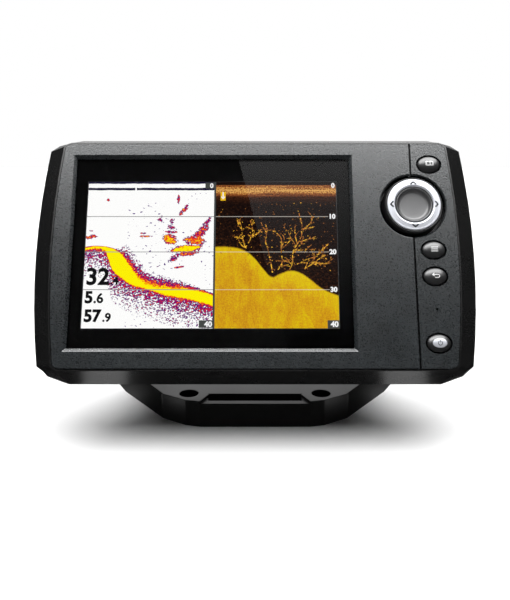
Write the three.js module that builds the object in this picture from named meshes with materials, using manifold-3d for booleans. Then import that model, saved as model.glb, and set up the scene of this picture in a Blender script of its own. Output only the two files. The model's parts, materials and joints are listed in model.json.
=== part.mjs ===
// A five-inch marine chartplotter display on a gimbal bracket.
// Millimetres, +Z up. The origin is the middle of the bracket's underside, on the deck.
// The display faces -Y and is leaned back about the pivot that runs along X.
// Pieces of the display are drawn in the face's own frame: x to the right, y the depth behind the
// front face, z up the face. One group then carries that frame to the pivot and leans it back.

import * as THREE from "three";
import { mergeVertices } from "three/addons/utils/BufferGeometryUtils.js";
import Module from "manifold-3d";

const wasm = await Module();
wasm.setup();

// ---------------------------------------------------------------- driving dimensions

const GAP = 0.3; // between pieces that touch
const LEAN = THREE.MathUtils.degToRad(24.6); // how far the face leans back
const PIVOT = { y: -9.3, z: 70.4 }; // tilt axis above the deck
const PIVOT_DEPTH = 28; // tilt axis behind the face

// Outlines of the housing seen from the front. bow is the half width at mid height, end the point
// where the bowed side stops, clip a point on the clipped corner and top where the top edge starts.
const FASCIA = { bow: 86.0, end: [82.9, 47.6], clip: [81.8, 48.6], top: [80.2, 49.1] };
const CREASE = { bow: 94.3, end: [90.8, 47.8], clip: [87.1, 50.4], top: [80.3, 52.2] };
const RIM = { bow: 95.0, end: [92.4, 46.3], clip: [87.4, 51.6], top: [78.0, 54.9] };
const DEPTH = { fascia: 1.6, floorFront: 1.9, floorBack: 5.0, crease: 4.6, rim: 8.8, bezel: 11.0 };

const PICTURE = { x: -18.7, z: 0.35, w: 108.0, h: 64.8 }; // a 5.0 inch 800 x 480 panel
const WINDOW = { x: -18.4, z: 1.0, w: 118.8, h: 83.4 }; // dark glass that shows
const WINDOW_BEVEL = { wide: 1.35, deep: 1.2 };
const LENS = { margin: 3.6, front: DEPTH.floorFront, thick: 1.2, gasket: 0.4 };

const SEAM_X = 67.6; // joint between the two fascias
const SEAM_WIDTH = 0.8;
const NAV = { x: 68.0, z: 20.8, well: 14.0, skirt: 12.8, ring: 11.45, dish: 7.9 };
const KEY_X = 75.65;
const KEYS = { view: 39.65, menu: 1.05, exit: -10.45, power: -38.7 };
const KEY_HOLE = { a: 5.6, b: 4.4 }; // half axes of the oval holes
const KEY_CAP = { a: 5.15, b: 3.95, flangeA: 6.5, flangeB: 5.2, proud: 1.5 };
const SENSOR_HOLE = { z: -24.45, r: 0.6 };

const CASE = { flangeFront: 11.3, flangeBack: 13.3, back: 54, wall: 2.6 };
const CASE_RINGS = [
  // depth, half width, half height, corner radius
  [12.0, 58.0, 41.0, 9],
  [40.0, 54.8, 37.8, 9],
  [50.5, 52.6, 35.6, 9],
  [CASE.back, 48.8, 31.8, 7],
];
const SCREWS = [
  [87.4, 38],
  [40, 48.6],
];

const BOSS = { inner: 46, outer: 58.3, r: 10.5, bore: 5.3 };
const INSERT = { inner: 48.8, outer: 58.0, r: 5.0, bore: 3.3 };
const STUD = { inner: 50, outer: 80, r: 2.9, headR: 5.2, headFrom: 72 };
const FRICTION_WASHER = { inner: 58.6, outer: 60.2, r: 11, bore: 3.5 };
const KNOB_WASHER = { inner: 66.8, outer: 68.0, r: 9, bore: 3.5 };
const KNOB = { inner: 68.3, outer: 86.5, r: 13.2, lobes: 8, lobe: 1.1, hubR: 9.5, hubTo: 71.5 };

const BRACKET = { deck: 12.6, halfDepth: 30, armHalfDepth: 20.2, web: 4, skirt: 3, armEndR: 14 };
const ARM = { inner: 60.6, outer: 66.5, top: 86, pocketTop: 54 };
const DECK_HOLE = { x: 31.2, y: 20, bossR: 7.2, bore: 3.2, counterbore: 4.5, seat: 4.2 };
const CABLE_SLOT = { halfWidth: 21.8, front: -25.8, back: -20.7, lip: 11.4, padEdge: 25.8 };

const SOCKETS = {
  power: { x: -16, z: -13, pins: 3, pinRing: 4.2 },
  sonar: { x: 12, z: -13, pins: 6, pinRing: 4.8 },
};
const SOCKET = { outer: 10.4, bore: 8.2, hole: 9.4, flange: 12, mouth: 62, block: 7.8 };
const CARD_DOOR = { x: -30, z: 14, w: 26, h: 15, thick: 2.2, corner: 2.5 };
const DOOR_HINGE = { depth: CASE.back + 1.9, z: CARD_DOOR.z - CARD_DOOR.h / 2 + 0.8, pin: 0.7, bore: 1.05 };

// ---------------------------------------------------------------- materials

const paint = (color, roughness, metalness = 0, extra = {}) =>
  new THREE.MeshStandardMaterial({ color, roughness, metalness, ...extra });
const MATERIAL = {
  fascia: paint(0x3d4042, 0.5),
  black: paint(0x101010, 0.4),
  glass: paint(0x070708, 0.05, 0, { transparent: true, opacity: 0.4 }),
  picture: paint(0xd8b020, 0.3),
  metalTray: paint(0xa9acb0, 0.35, 1),
  white: paint(0xe8e8e4, 0.6),
  key: paint(0x4a4a4c, 0.4),
  silver: paint(0xd4d6da, 0.3, 0.6),
  dish: paint(0x5c5c5e, 0.45),
  rubber: paint(0x1c1c1c, 0.85),
  board: paint(0x11502c, 0.5),
  chip: paint(0x18181a, 0.4),
  ceramic: paint(0xd8cfb4, 0.6),
  brass: paint(0xb9923f, 0.3, 1),
  steel: paint(0xb8babd, 0.3, 1),
  clear: paint(0xe0e8ee, 0.1, 0, { transparent: true, opacity: 0.5 }),
};

// ---------------------------------------------------------------- solids and cuts

// A closed three.js geometry as a manifold-3d solid that faces outwards.
function solid(geometry) {
  const bare = new THREE.BufferGeometry();
  bare.setAttribute("position", geometry.getAttribute("position"));
  if (geometry.index) bare.setIndex(geometry.index);
  const merged = mergeVertices(bare, 1e-4);
  const build = (triVerts) =>
    new wasm.Manifold(
      new wasm.Mesh({ numProp: 3, vertProperties: merged.attributes.position.array, triVerts }),
    );
  const triangles = new Uint32Array(merged.index.array);
  const made = build(triangles);
  if (made.volume() > 0) return made;
  for (let i = 0; i < triangles.length; i += 3) {
    [triangles[i + 1], triangles[i + 2]] = [triangles[i + 2], triangles[i + 1]];
  }
  return build(triangles);
}

const join = (first, ...rest) => rest.reduce((all, one) => all.add(one), first);
const cut = (first, ...rest) => rest.reduce((all, one) => all.subtract(one), first);
const common = (first, ...rest) => rest.reduce((all, one) => all.intersect(one), first);

function geometryOf(manifold) {
  const mesh = manifold.getMesh();
  const geometry = new THREE.BufferGeometry();
  geometry.setAttribute("position", new THREE.BufferAttribute(mesh.vertProperties, 3));
  geometry.setIndex(new THREE.BufferAttribute(mesh.triVerts, 1));
  geometry.computeVertexNormals();
  return geometry;
}

function place(group, name, manifold, material) {
  const mesh = new THREE.Mesh(geometryOf(manifold), material);
  mesh.name = name;
  group.add(mesh);
  return mesh;
}

// ---------------------------------------------------------------- shapes in the face's frame

// Extrudes a flat shape (x, z) from one depth behind the face to another.
function slab(shape, from, to, curveSegments = 12) {
  const geometry = new THREE.ExtrudeGeometry(shape, {
    depth: to - from,
    bevelEnabled: false,
    curveSegments,
  });
  geometry.rotateX(Math.PI / 2).translate(0, to, 0);
  return solid(geometry);
}

// A round bar along the depth, from one depth to another.
function rod(x, z, r, from, to, segments = 24, rTo = r) {
  const bar = new THREE.CylinderGeometry(rTo, r, to - from, segments);
  return solid(bar.translate(x, (from + to) / 2, z));
}

// A round bar along X.
function axle(y, z, r, from, to, segments = 24) {
  const bar = new THREE.CylinderGeometry(r, r, to - from, segments);
  return solid(bar.rotateZ(-Math.PI / 2).translate((from + to) / 2, y, z));
}

function box(x0, x1, y0, y1, z0, z1) {
  const block = new THREE.BoxGeometry(x1 - x0, y1 - y0, z1 - z0);
  return solid(block.translate((x0 + x1) / 2, (y0 + y1) / 2, (z0 + z1) / 2));
}

// A profile of (radius, depth) points turned about the depth axis at (x, z).
function turned(x, z, profile, segments = 48) {
  const points = profile.map(([r, depth]) => new THREE.Vector2(r, depth));
  return solid(new THREE.LatheGeometry(points, segments).translate(x, 0, z));
}

const polygon = (points) => new THREE.Shape(points.map(([x, z]) => new THREE.Vector2(x, z)));
const mirrored = (half) => [...half, ...half.map(([x, z]) => [-x, z]).reverse()];

function oval(x, z, a, b) {
  const shape = new THREE.Shape();
  shape.absellipse(x, z, a, b, 0, Math.PI * 2);
  return shape;
}

function roundedRect({ x, z, w, h }, r) {
  const shape = new THREE.Shape();
  const [left, right, low, high] = [x - w / 2, x + w / 2, z - h / 2, z + h / 2];
  shape.moveTo(left + r, low);
  shape.lineTo(right - r, low);
  shape.absarc(right - r, low + r, r, -Math.PI / 2, 0);
  shape.lineTo(right, high - r);
  shape.absarc(right - r, high - r, r, 0, Math.PI / 2);
  shape.lineTo(left + r, high);
  shape.absarc(left + r, high - r, r, Math.PI / 2, Math.PI);
  shape.lineTo(left, low + r);
  shape.absarc(left + r, low + r, r, Math.PI, Math.PI * 1.5);
  return shape;
}

const grownRect = (rect, by) => ({ ...rect, w: rect.w + 2 * by, h: rect.h + 2 * by });

// The points of a housing outline, anticlockwise seen from the front.
function outlinePoints({ bow, end, clip, top }, steps = 8) {
  const side = [];
  for (let i = 0; i <= steps; i++) {
    const share = (2 * i) / steps - 1;
    side.push([bow - (bow - end[0]) * share * share, end[1] * share]);
  }
  const right = [[clip[0], -clip[1]], ...side, clip, top];
  const left = mirrored(right).slice(right.length);
  return [[top[0], -top[1]], ...right, ...left, [-top[0], -top[1]]];
}

const grown = ({ bow, end, clip, top }, by) => ({
  bow: bow + by,
  end: [end[0] + by, end[1] + by * 0.6],
  clip: [clip[0] + by * 0.8, clip[1] + by * 0.8],
  top: [top[0] + by * 0.5, top[1] + by],
});

// Skins a stack of outlines with equal numbers of points into one closed solid.
function loft(rings) {
  const count = rings[0].points.length;
  const positions = [];
  for (const { depth, points } of rings) {
    for (const [x, z] of points) positions.push(x, depth, z);
  }
  const index = [];
  for (let r = 0; r + 1 < rings.length; r++) {
    for (let i = 0; i < count; i++) {
      const [a, b] = [r * count + i, r * count + ((i + 1) % count)];
      index.push(a, a + count, b, b, a + count, b + count);
    }
  }
  const cap = rings[0].points.map(([x, z]) => new THREE.Vector2(x, z));
  const last = (rings.length - 1) * count;
  for (const [a, b, c] of THREE.ShapeUtils.triangulateShape(cap, [])) {
    index.push(a, b, c);
    index.push(last + a, last + c, last + b);
  }
  const geometry = new THREE.BufferGeometry();
  geometry.setAttribute("position", new THREE.Float32BufferAttribute(positions, 3));
  geometry.setIndex(index);
  return solid(geometry);
}

const outlineSlab = (outline, from, to) => slab(polygon(outlinePoints(outline)), from, to);

function roundedRing([depth, halfW, halfH, r], inset = 0, corners = 4) {
  const [w, h, radius] = [halfW - inset, halfH - inset, Math.max(r - inset, 1)];
  const points = [];
  const turn = Math.PI / 2;
  [[w, -h], [w, h], [-w, h], [-w, -h]].forEach(([x, z], quarter) => {
    const [cx, cz] = [x - Math.sign(x) * radius, z - Math.sign(z) * radius];
    for (let i = 0; i <= corners; i++) {
      const angle = (quarter - 1 + i / corners) * turn;
      points.push([cx + radius * Math.cos(angle), cz + radius * Math.sin(angle)]);
    }
  });
  return { depth, points };
}

// ---------------------------------------------------------------- front of the display

const keyHoles = (from, to) =>
  Object.values(KEYS).map((z) => slab(oval(KEY_X, z, KEY_HOLE.a, KEY_HOLE.b), from, to, 10));

function frontBezel() {
  const shell = loft([
    { depth: 0.5, points: outlinePoints(grown(FASCIA, 0.95)) },
    { depth: DEPTH.crease, points: outlinePoints(CREASE) },
    { depth: DEPTH.rim, points: outlinePoints(RIM) },
    { depth: DEPTH.bezel, points: outlinePoints(grown(RIM, -1.2)) },
  ]);
  const lensSeat = grownRect(WINDOW, LENS.margin + GAP);
  const panelHole = grownRect(WINDOW, 1.2);
  const bosses = screwPlaces().map(([x, z]) => rod(x, z, 3.0, DEPTH.floorBack, DEPTH.bezel - GAP, 14));
  const screwHoles = screwPlaces().map(([x, z]) => rod(x, z, 1.75, 7.2, DEPTH.bezel + 1, 10));
  const hollow = cut(
    shell,
    outlineSlab(grown(FASCIA, 0.35), -1, DEPTH.floorFront),
    slab(roundedRect(lensSeat, 1.5), 1, LENS.front + LENS.thick + LENS.gasket + 2 * GAP, 3),
    slab(roundedRect(panelHole, 1), 1, 6, 3),
    outlineSlab(grown(FASCIA, 0.8), DEPTH.floorBack, DEPTH.bezel + 1),
    outlineSlab(grown(RIM, -4.4), 6.8, DEPTH.bezel + 1),
    rod(NAV.x, NAV.z, NAV.well, 1, 6, 40),
    rod(KEY_X, SENSOR_HOLE.z, 1.6, 1, 6, 12),
    ...keyHoles(1, 6),
  );
  return cut(join(hollow, ...bosses), ...screwHoles);
}

// Both fascias are one plate parted at the seam. Its window has a bevelled edge.
function fasciaPlate() {
  const plate = outlineSlab(FASCIA, 0, DEPTH.fascia);
  const corners = ({ x, z, w, h }) => [
    [x - w / 2, z - h / 2],
    [x + w / 2, z - h / 2],
    [x + w / 2, z + h / 2],
    [x - w / 2, z + h / 2],
  ];
  const { wide, deep } = WINDOW_BEVEL;
  const spread = (1 / deep) * wide; // the bevel carried on above the face by 1 mm
  const bevel = loft([
    { depth: -1, points: corners(grownRect(WINDOW, wide + spread)) },
    { depth: deep, points: corners(WINDOW) },
    { depth: DEPTH.fascia + 1, points: corners(WINDOW) },
  ]);
  const well = turned(NAV.x, NAV.z, [
    [0, -1],
    [NAV.well + 1.5, -1],
    [NAV.well, 0.5],
    [NAV.well, 3],
    [0, 3],
  ], 40);
  const sensorHole = rod(KEY_X, SENSOR_HOLE.z, SENSOR_HOLE.r, -1, 3, 12);
  return cut(plate, bevel, well, ...keyHoles(-1, 3), sensorHole);
}

function screenFascia(plate) {
  return common(plate, box(-120, SEAM_X - SEAM_WIDTH / 2, -2, 4, -80, 80));
}

function keypadFascia(plate) {
  return common(plate, box(SEAM_X + SEAM_WIDTH / 2, 120, -2, 4, -80, 80));
}

function addScreenStack(group) {
  const lensBack = LENS.front + LENS.thick;
  const lens = slab(roundedRect(grownRect(WINDOW, LENS.margin), 1.2), LENS.front, lensBack, 3);
  place(group, "lens", lens, MATERIAL.glass);
  const gasket = cut(
    slab(roundedRect(grownRect(WINDOW, LENS.margin), 1.2), lensBack + GAP, lensBack + GAP + LENS.gasket, 3),
    slab(roundedRect(grownRect(WINDOW, 1.6), 1), lensBack, lensBack + 2, 2),
  );
  place(group, "lens_gasket", gasket, MATERIAL.rubber);
  const panelRect = grownRect(PICTURE, 5.4);
  place(group, "lcd_panel", slab(roundedRect(panelRect, 0.5), lensBack + GAP, 5.4, 2), MATERIAL.picture);
  const backlight = slab(roundedRect(grownRect(panelRect, -0.8), 0.5), 5.7, 8.4, 2);
  place(group, "backlight", backlight, MATERIAL.white);
  place(group, "lcd_tray", lcdTray(panelRect), MATERIAL.metalTray);
}

// A folded sheet tray that wraps the backlight, with a window in its floor.
function lcdTray({ x, z, w, h }) {
  const outer = { x, z, w: w + 2.4, h: h + 2.4 };
  const inner = { x, z, w: w + 0.8, h: h + 0.8 };
  const tray = cut(
    slab(roundedRect(outer, 1), 5.9, 9.5, 2),
    slab(roundedRect(inner, 0.5), 5, 8.7, 2),
  );
  const window = slab(roundedRect({ x, z, w: w - 40, h: h - 30 }, 4), 8, 11, 3);
  return cut(tray, window);
}

// ---------------------------------------------------------------- keys

// An oval key: a domed cap, a shank through the bezel and a flange that stops it falling out.
function keyCap(z) {
  const { a, b, proud } = KEY_CAP;
  const steps = 4;
  const ringAt = (depth, share) => ({
    depth,
    points: Array.from({ length: 24 }, (_, i) => {
      const angle = (i / 24) * Math.PI * 2;
      return [KEY_X + a * share * Math.cos(angle), z + b * share * Math.sin(angle)];
    }),
  });
  const dome = [];
  for (let i = 0; i <= steps; i++) {
    const angle = ((i + 0.6) / (steps + 0.6)) * (Math.PI / 2);
    dome.push(ringAt(-proud * Math.cos(angle), Math.sin(angle)));
  }
  const cap = loft([...dome, ringAt(DEPTH.floorBack + GAP, 1)]);
  const flangeFrom = DEPTH.floorBack + GAP;
  const flange = slab(oval(KEY_X, z, KEY_CAP.flangeA, KEY_CAP.flangeB), flangeFrom, flangeFrom + 0.8, 8);
  const root = slab(oval(KEY_X, z, a - 0.5, b - 0.5), 4, flangeFrom + 0.4, 6);
  return join(cap, root, flange);
}

// The silver oval let into the top of the power key.
function powerBadge(z) {
  const reach = KEY_CAP.proud + 0.12;
  return slab(oval(KEY_X, z, 3.0, 1.95), -reach, -KEY_CAP.proud * 0.35, 10);
}

function addKeys(display) {
  for (const [name, z] of Object.entries(KEYS)) {
    if (name !== "power") {
      place(display, `${name}_key`, keyCap(z), MATERIAL.key);
      continue;
    }
    const pocket = slab(oval(KEY_X, z, 3.0 + GAP, 1.95 + GAP), -3, -KEY_CAP.proud * 0.35 + GAP, 10);
    place(display, "power_key", cut(keyCap(z), pocket), MATERIAL.key);
    place(display, "power_badge", powerBadge(z), MATERIAL.silver);
  }
}

// The four-way rocker: black body, silver ring let into its top, dished middle and a hidden pivot.
function addNavigator(group) {
  const { x, z, skirt, ring, dish } = NAV;
  const body = turned(x, z, [
    [0, 0.9],
    [dish - 0.6, 0.9],
    [dish + 0.1, -0.7],
    [ring + GAP, -0.7],
    [ring + GAP, -1.35],
    [ring + 0.55, -1.3],
    [skirt - 0.25, -0.4],
    [skirt, 0.8],
    [skirt, 6.2],
    [skirt + 2.2, 6.2],
    [skirt + 2.2, 6.9],
    [skirt - 1.6, 6.9],
    [skirt - 1.6, 2.6],
    [4.6, 2.6],
    [4.6, 5.4],
    [0, 5.4],
  ], 36);
  place(group, "nav_rocker", body, MATERIAL.black);
  const silver = turned(x, z, [
    [dish + 0.4, -1.0],
    [dish + 0.15, -1.35],
    [dish + 0.5, -1.8],
    [ring - 0.9, -2.05],
    [ring - 0.2, -1.9],
    [ring, -1.5],
    [ring, -1.0],
    [dish + 0.4, -1.0],
  ], 40);
  place(group, "nav_ring", silver, MATERIAL.silver);
  const middle = turned(x, z, [
    [0, 0.6],
    [dish - 1.1, 0.6],
    [dish - 0.25, -0.9],
    [dish - 0.35, -1.35],
    [dish - 0.8, -1.3],
    [dish - 1.6, -0.45],
    [dish - 2.6, -0.1],
    [0, 0.15],
  ], 32);
  place(group, "nav_dish", middle, MATERIAL.dish);
  const pivot = turned(x, z, [[0, 5.7], [1.3, 5.7], [2.0, 6.3], [2.0, 8.8], [0, 8.8]], 14);
  place(group, "nav_pivot", pivot, MATERIAL.steel);
}

function addKeypadParts(group) {
  const strip = { x: 71.6, z: 0, w: 21.0, h: 86.8 };
  const sheet = cut(
    slab(roundedRect(strip, 2), 8.1, 9.0, 3),
    rod(NAV.x, NAV.z, 3.2, 7, 10, 16),
    rod(KEY_X, SENSOR_HOLE.z, 1.8, 7, 10, 12),
  );
  place(group, "rubber_keypad", sheet, MATERIAL.rubber);
  place(group, "keypad_board", slab(roundedRect(strip, 2.5), 9.3, 10.5, 2), MATERIAL.board);
  const pipe = rod(KEY_X, SENSOR_HOLE.z, 1.2, DEPTH.fascia + GAP, 9.0, 12);
  place(group, "light_pipe", pipe, MATERIAL.clear);
}

// ---------------------------------------------------------------- electronics

function addElectronics(group) {
  const board = cut(
    slab(roundedRect({ x: 0, z: 0, w: 88, h: 66 }, 2), 17, 18.6, 3),
    ...[[-40, 29], [40, 29], [-40, -29], [40, -29]].map(([x, z]) => rod(x, z, 1.7, 16, 20, 14)),
  );
  place(group, "main_board", board, MATERIAL.board);
  const can = cut(
    slab(roundedRect({ x: 20, z: 8, w: 34, h: 28 }, 1), 18.9, 23.4, 2),
    slab(roundedRect({ x: 20, z: 8, w: 33, h: 27 }, 0.6), 18, 22.9, 2),
  );
  place(group, "shield_can", can, MATERIAL.metalTray);
  const processor = slab(roundedRect({ x: 20, z: 8, w: 15, h: 15 }, 0.5), 18.9, 20.4, 2);
  place(group, "processor", processor, MATERIAL.chip);
  const antenna = slab(roundedRect({ x: -6, z: 20, w: 18, h: 18 }, 1), 18.9, 22.9, 2);
  place(group, "gps_antenna", antenna, MATERIAL.ceramic);
  const coil = cut(rod(30, -20, 6, 18.9, 23.5, 28), rod(30, -20, 2.4, 18, 25, 16));
  place(group, "power_coil", coil, MATERIAL.chip);
  const beeper = cut(rod(-34, -20, 6, 18.9, 23.6, 28), rod(-34, -20, 1.2, 21, 25, 12));
  place(group, "beeper", beeper, MATERIAL.chip);
  place(group, "lcd_flex", lcdFlex(), MATERIAL.brass);
}

// The flat cable from the panel's edge round to the front of the main board.
function lcdFlex() {
  const [thick, from, to] = [0.3, 10.3, 16.7];
  const low = PICTURE.z - 14;
  const path = polygon([
    [from, low],
    [from + thick, low - thick],
    [from + thick, low - 12 + thick],
    [to, low - 12 + thick],
    [to, low - 12],
    [from, low - 12],
  ]);
  const band = new THREE.ExtrudeGeometry(path, { depth: 24, bevelEnabled: false });
  return solid(band.applyMatrix4(AXES_YZX).translate(-20, 0, 0));
}

// Carries a shape drawn in (y, z) and extruded along +Z onto the row's axes: depth becomes +X.
const AXES_YZX = new THREE.Matrix4().makeBasis(
  new THREE.Vector3(0, 1, 0),
  new THREE.Vector3(0, 0, 1),
  new THREE.Vector3(1, 0, 0),
);

function sideSlab(points, from, to) {
  const band = new THREE.ExtrudeGeometry(points, {
    depth: to - from,
    bevelEnabled: false,
    curveSegments: 20,
  });
  return solid(band.applyMatrix4(AXES_YZX).translate(from, 0, 0));
}

// ---------------------------------------------------------------- back of the display

function rearCase() {
  const flange = outlineSlab(grown(RIM, -1.9), CASE.flangeFront, CASE.flangeBack);
  const body = loft(CASE_RINGS.map((ring) => roundedRing(ring)));
  const inside = loft([
    roundedRing([10, 58.2, 41.2, 9], CASE.wall),
    ...CASE_RINGS.slice(1, -1).map((ring) => roundedRing(ring, CASE.wall)),
    roundedRing([CASE.back - CASE.wall, 50.4, 33.4, 8], CASE.wall),
  ]);
  const fins = [];
  for (let x = -7; x <= 35; x += 7) {
    fins.push(box(x - 1, x + 1, CASE.back - 1, CASE.back + 1.6, 5, 25));
  }
  const door = { x: CARD_DOOR.x, z: CARD_DOOR.z, w: CARD_DOOR.w + 0.8, h: CARD_DOOR.h + 0.8 };
  const frameShape = roundedRect(grownRect(door, 1.6), CARD_DOOR.corner + 1.4);
  const doorFrame = slab(frameShape, CASE.back - 1, CASE.back + 1.4, 5);
  const hinge = (r, reach) => axle(DOOR_HINGE.depth, DOOR_HINGE.z, r, door.x - reach, door.x + reach, 12);
  const [lugLow, lugHigh] = [DOOR_HINGE.z - 1.7, DOOR_HINGE.z + 1.7];
  const lugs = [door.x - 14.5, door.x + 14.5].map((x) =>
    box(x - 1.1, x + 1.1, CASE.back - 1, CASE.back + 3.4, lugLow, lugHigh),
  );
  const cardSlot = box(door.x - 7, door.x + 7, 40, CASE.back + 3, door.z - 1.6, door.z + 1.6);
  const bosses = [-1, 1].map((side) => {
    const [near, far] = [side * BOSS.inner, side * BOSS.outer].sort((a, b) => a - b);
    return axle(PIVOT_DEPTH, 0, BOSS.r, near, far, 28);
  });
  const boreFrom = INSERT.inner - GAP;
  const bores = [-1, 1].map((side) => {
    const [near, far] = [side * boreFrom, side * 60].sort((a, b) => a - b);
    return axle(PIVOT_DEPTH, 0, BOSS.bore, near, far, 24);
  });
  const screwHoles = screwPlaces().map(([x, z]) => rod(x, z, 1.75, 10, 14, 12));
  const socketHoles = Object.values(SOCKETS).map(({ x, z }) => rod(x, z, SOCKET.hole, 49, 56, 32));
  return cut(
    join(cut(join(flange, body, ...fins, doorFrame, ...lugs), inside), ...bosses),
    slab(roundedRect(door, CARD_DOOR.corner), CASE.back - 0.2, CASE.back + 3, 5),
    cardSlot,
    hinge(DOOR_HINGE.bore, 17),
    rod(30, -14, 3.2, 50, 56, 24),
    ...bores,
    ...screwHoles,
    ...socketHoles,
  );
}

const screwPlaces = () => SCREWS.flatMap(([x, z]) => [[x, z], [-x, z], [x, -z], [-x, -z]]);

function addCaseFixings(group) {
  screwPlaces().forEach(([x, z], i) => {
    const head = CASE.flangeBack + GAP;
    const screw = turned(x, z, [
      [0, 7.6],
      [1.35, 7.9],
      [1.35, head],
      [2.7, head],
      [2.7, head + 1.1],
      [2, head + 1.7],
      [0, head + 1.7],
    ], 12);
    const drive = rod(x, z, 1.25, head + 0.7, head + 3, 6);
    place(group, `case_screw_${i + 1}`, cut(screw, drive), MATERIAL.steel);
  });
  const seal = cut(
    slab(roundedRect({ x: 0, z: 0, w: 168.4, h: 90.6 }, 4), 9.2, 11.0, 3),
    slab(roundedRect({ x: 0, z: 0, w: 165.6, h: 87.8 }, 3), 8, 12, 3),
  );
  place(group, "case_seal", seal, MATERIAL.rubber);
  const vent = turned(30, -14, [
    [0, 50.6],
    [2.9, 50.6],
    [2.9, 54.3],
    [4.6, 54.3],
    [4.6, 55.0],
    [3.8, 55.4],
    [0, 55.4],
  ], 28);
  place(group, "vent_plug", vent, MATERIAL.rubber);
}

function addSockets(group) {
  const inner = CASE.back - CASE.wall;
  for (const [name, { x, z, pins, pinRing }] of Object.entries(SOCKETS)) {
    const shell = turned(x, z, [
      [SOCKET.bore, 50.2],
      [SOCKET.hole - GAP, 50.2],
      [SOCKET.hole - GAP, CASE.back + GAP],
      [SOCKET.flange, CASE.back + GAP],
      [SOCKET.flange, CASE.back + 1.9],
      [SOCKET.outer, CASE.back + 2.3],
      [SOCKET.outer, SOCKET.mouth - 0.5],
      [SOCKET.outer - 0.5, SOCKET.mouth],
      [SOCKET.bore, SOCKET.mouth],
      [SOCKET.bore, 50.2],
    ], 32);
    const keyway = z + SOCKET.bore;
    const key = box(x - 0.9, x + 0.9, inner + 3, SOCKET.mouth - 1.5, keyway - 1, keyway + 0.6);
    place(group, `${name}_socket`, join(shell, key), MATERIAL.black);
    const spots = Array.from({ length: pins }, (_, i) => {
      const angle = Math.PI / 2 + ((i + 0.5) / pins) * Math.PI * 2;
      return [x + pinRing * Math.cos(angle), z + pinRing * Math.sin(angle)];
    });
    const block = cut(
      rod(x, z, SOCKET.block, 50.6, 53.4, 32),
      ...spots.map(([px, pz]) => rod(px, pz, 1.15, 49, 55, 10)),
    );
    place(group, `${name}_contact_block`, block, MATERIAL.white);
    const leads = join(
      rod(x, z, SOCKET.block - 0.9, 49.2, 50.2, 20),
      ...spots.map(([px, pz]) => rod(px, pz, 0.8, 50, 56.6, 10, 0.5)),
    );
    place(group, `${name}_pins`, leads, MATERIAL.brass);
  }
}

function addCardDoor(display) {
  const { x, z, w, h, thick, corner } = CARD_DOOR;
  const [front, back] = [CASE.back + 0.2, CASE.back + 0.2 + thick];
  const plate = slab(roundedRect({ x, z, w, h }, corner), front, back, 4);
  const pull = slab(roundedRect({ x, z: z + h / 2 - 1.6, w: 9, h: 1.6 }, 0.7), back - 0.2, back + 1.1, 3);
  const pin = axle(DOOR_HINGE.depth, DOOR_HINGE.z, DOOR_HINGE.pin, x - w / 2 - 2, x + w / 2 + 2, 12);
  place(display, "card_door", join(plate, pull, pin), MATERIAL.rubber);
  const reader = cut(
    box(x - 8, x + 8, 24, 40.5, z - 2.4, z + 2.4),
    box(x - 6.2, x + 6.2, 30, 42, z - 0.9, z + 0.9),
  );
  place(display, "card_reader", reader, MATERIAL.metalTray);
}

// ---------------------------------------------------------------- pivot hardware

const ordered = (a, b) => (a < b ? [a, b] : [b, a]);

function ringAlongX(side, { inner, outer, r, bore }) {
  const [from, to] = ordered(side * inner, side * outer);
  return cut(
    axle(PIVOT_DEPTH, 0, r, from, to, 24),
    axle(PIVOT_DEPTH, 0, bore, from - 1, to + 1, 20),
  );
}

function knobGrip(side) {
  const shape = new THREE.Shape();
  const steps = KNOB.lobes * 4;
  for (let i = 0; i < steps; i++) {
    const angle = (i / steps) * Math.PI * 2;
    const r = KNOB.r - KNOB.lobe + KNOB.lobe * Math.cos(angle * KNOB.lobes);
    const point = [PIVOT_DEPTH + r * Math.cos(angle), r * Math.sin(angle)];
    if (i === 0) shape.moveTo(...point);
    else shape.lineTo(...point);
  }
  shape.closePath();
  const at = (inner, outer) => ordered(side * inner, side * outer);
  const grip = sideSlab(shape, ...at(KNOB.hubTo, KNOB.outer));
  const hub = axle(PIVOT_DEPTH, 0, KNOB.hubR, ...at(KNOB.inner, KNOB.hubTo + 0.5), 32);
  const dimple = axle(PIVOT_DEPTH, 0, KNOB.hubR - 1, ...at(KNOB.outer - 1.5, KNOB.outer + 1), 32);
  const bore = axle(PIVOT_DEPTH, 0, STUD.r + GAP, ...at(KNOB.inner - 1, STUD.headFrom), 24);
  const headRoom = axle(PIVOT_DEPTH, 0, STUD.headR + GAP, ...at(STUD.headFrom - GAP, STUD.outer + GAP), 6);
  return cut(join(grip, hub), dimple, bore, headRoom);
}

function knobStud(side) {
  const at = (inner, outer) => ordered(side * inner, side * outer);
  return join(
    axle(PIVOT_DEPTH, 0, STUD.r, ...at(STUD.inner, STUD.headFrom + 0.5), 24),
    axle(PIVOT_DEPTH, 0, STUD.headR, ...at(STUD.headFrom, STUD.outer), 6),
  );
}

function addPivot(group) {
  for (const [name, side] of [["left", -1], ["right", 1]]) {
    place(group, `${name}_pivot_insert`, ringAlongX(side, INSERT), MATERIAL.brass);
    place(group, `${name}_friction_washer`, ringAlongX(side, FRICTION_WASHER), MATERIAL.rubber);
    place(group, `${name}_knob_washer`, ringAlongX(side, KNOB_WASHER), MATERIAL.steel);
    place(group, `${name}_knob_stud`, knobStud(side), MATERIAL.steel);
    place(group, `${name}_knob`, knobGrip(side), MATERIAL.black);
  }
}

// ---------------------------------------------------------------- bracket

// Extrudes a plan (x, y) upwards between two heights.
function planSlab(points, from, to) {
  const band = new THREE.ExtrudeGeometry(polygon(points), { depth: to - from, bevelEnabled: false });
  return solid(band.translate(0, 0, from));
}

const bothEnds = (half) => mirrored([...half, ...half.map(([x, y]) => [x, -y]).reverse()]);

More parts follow.
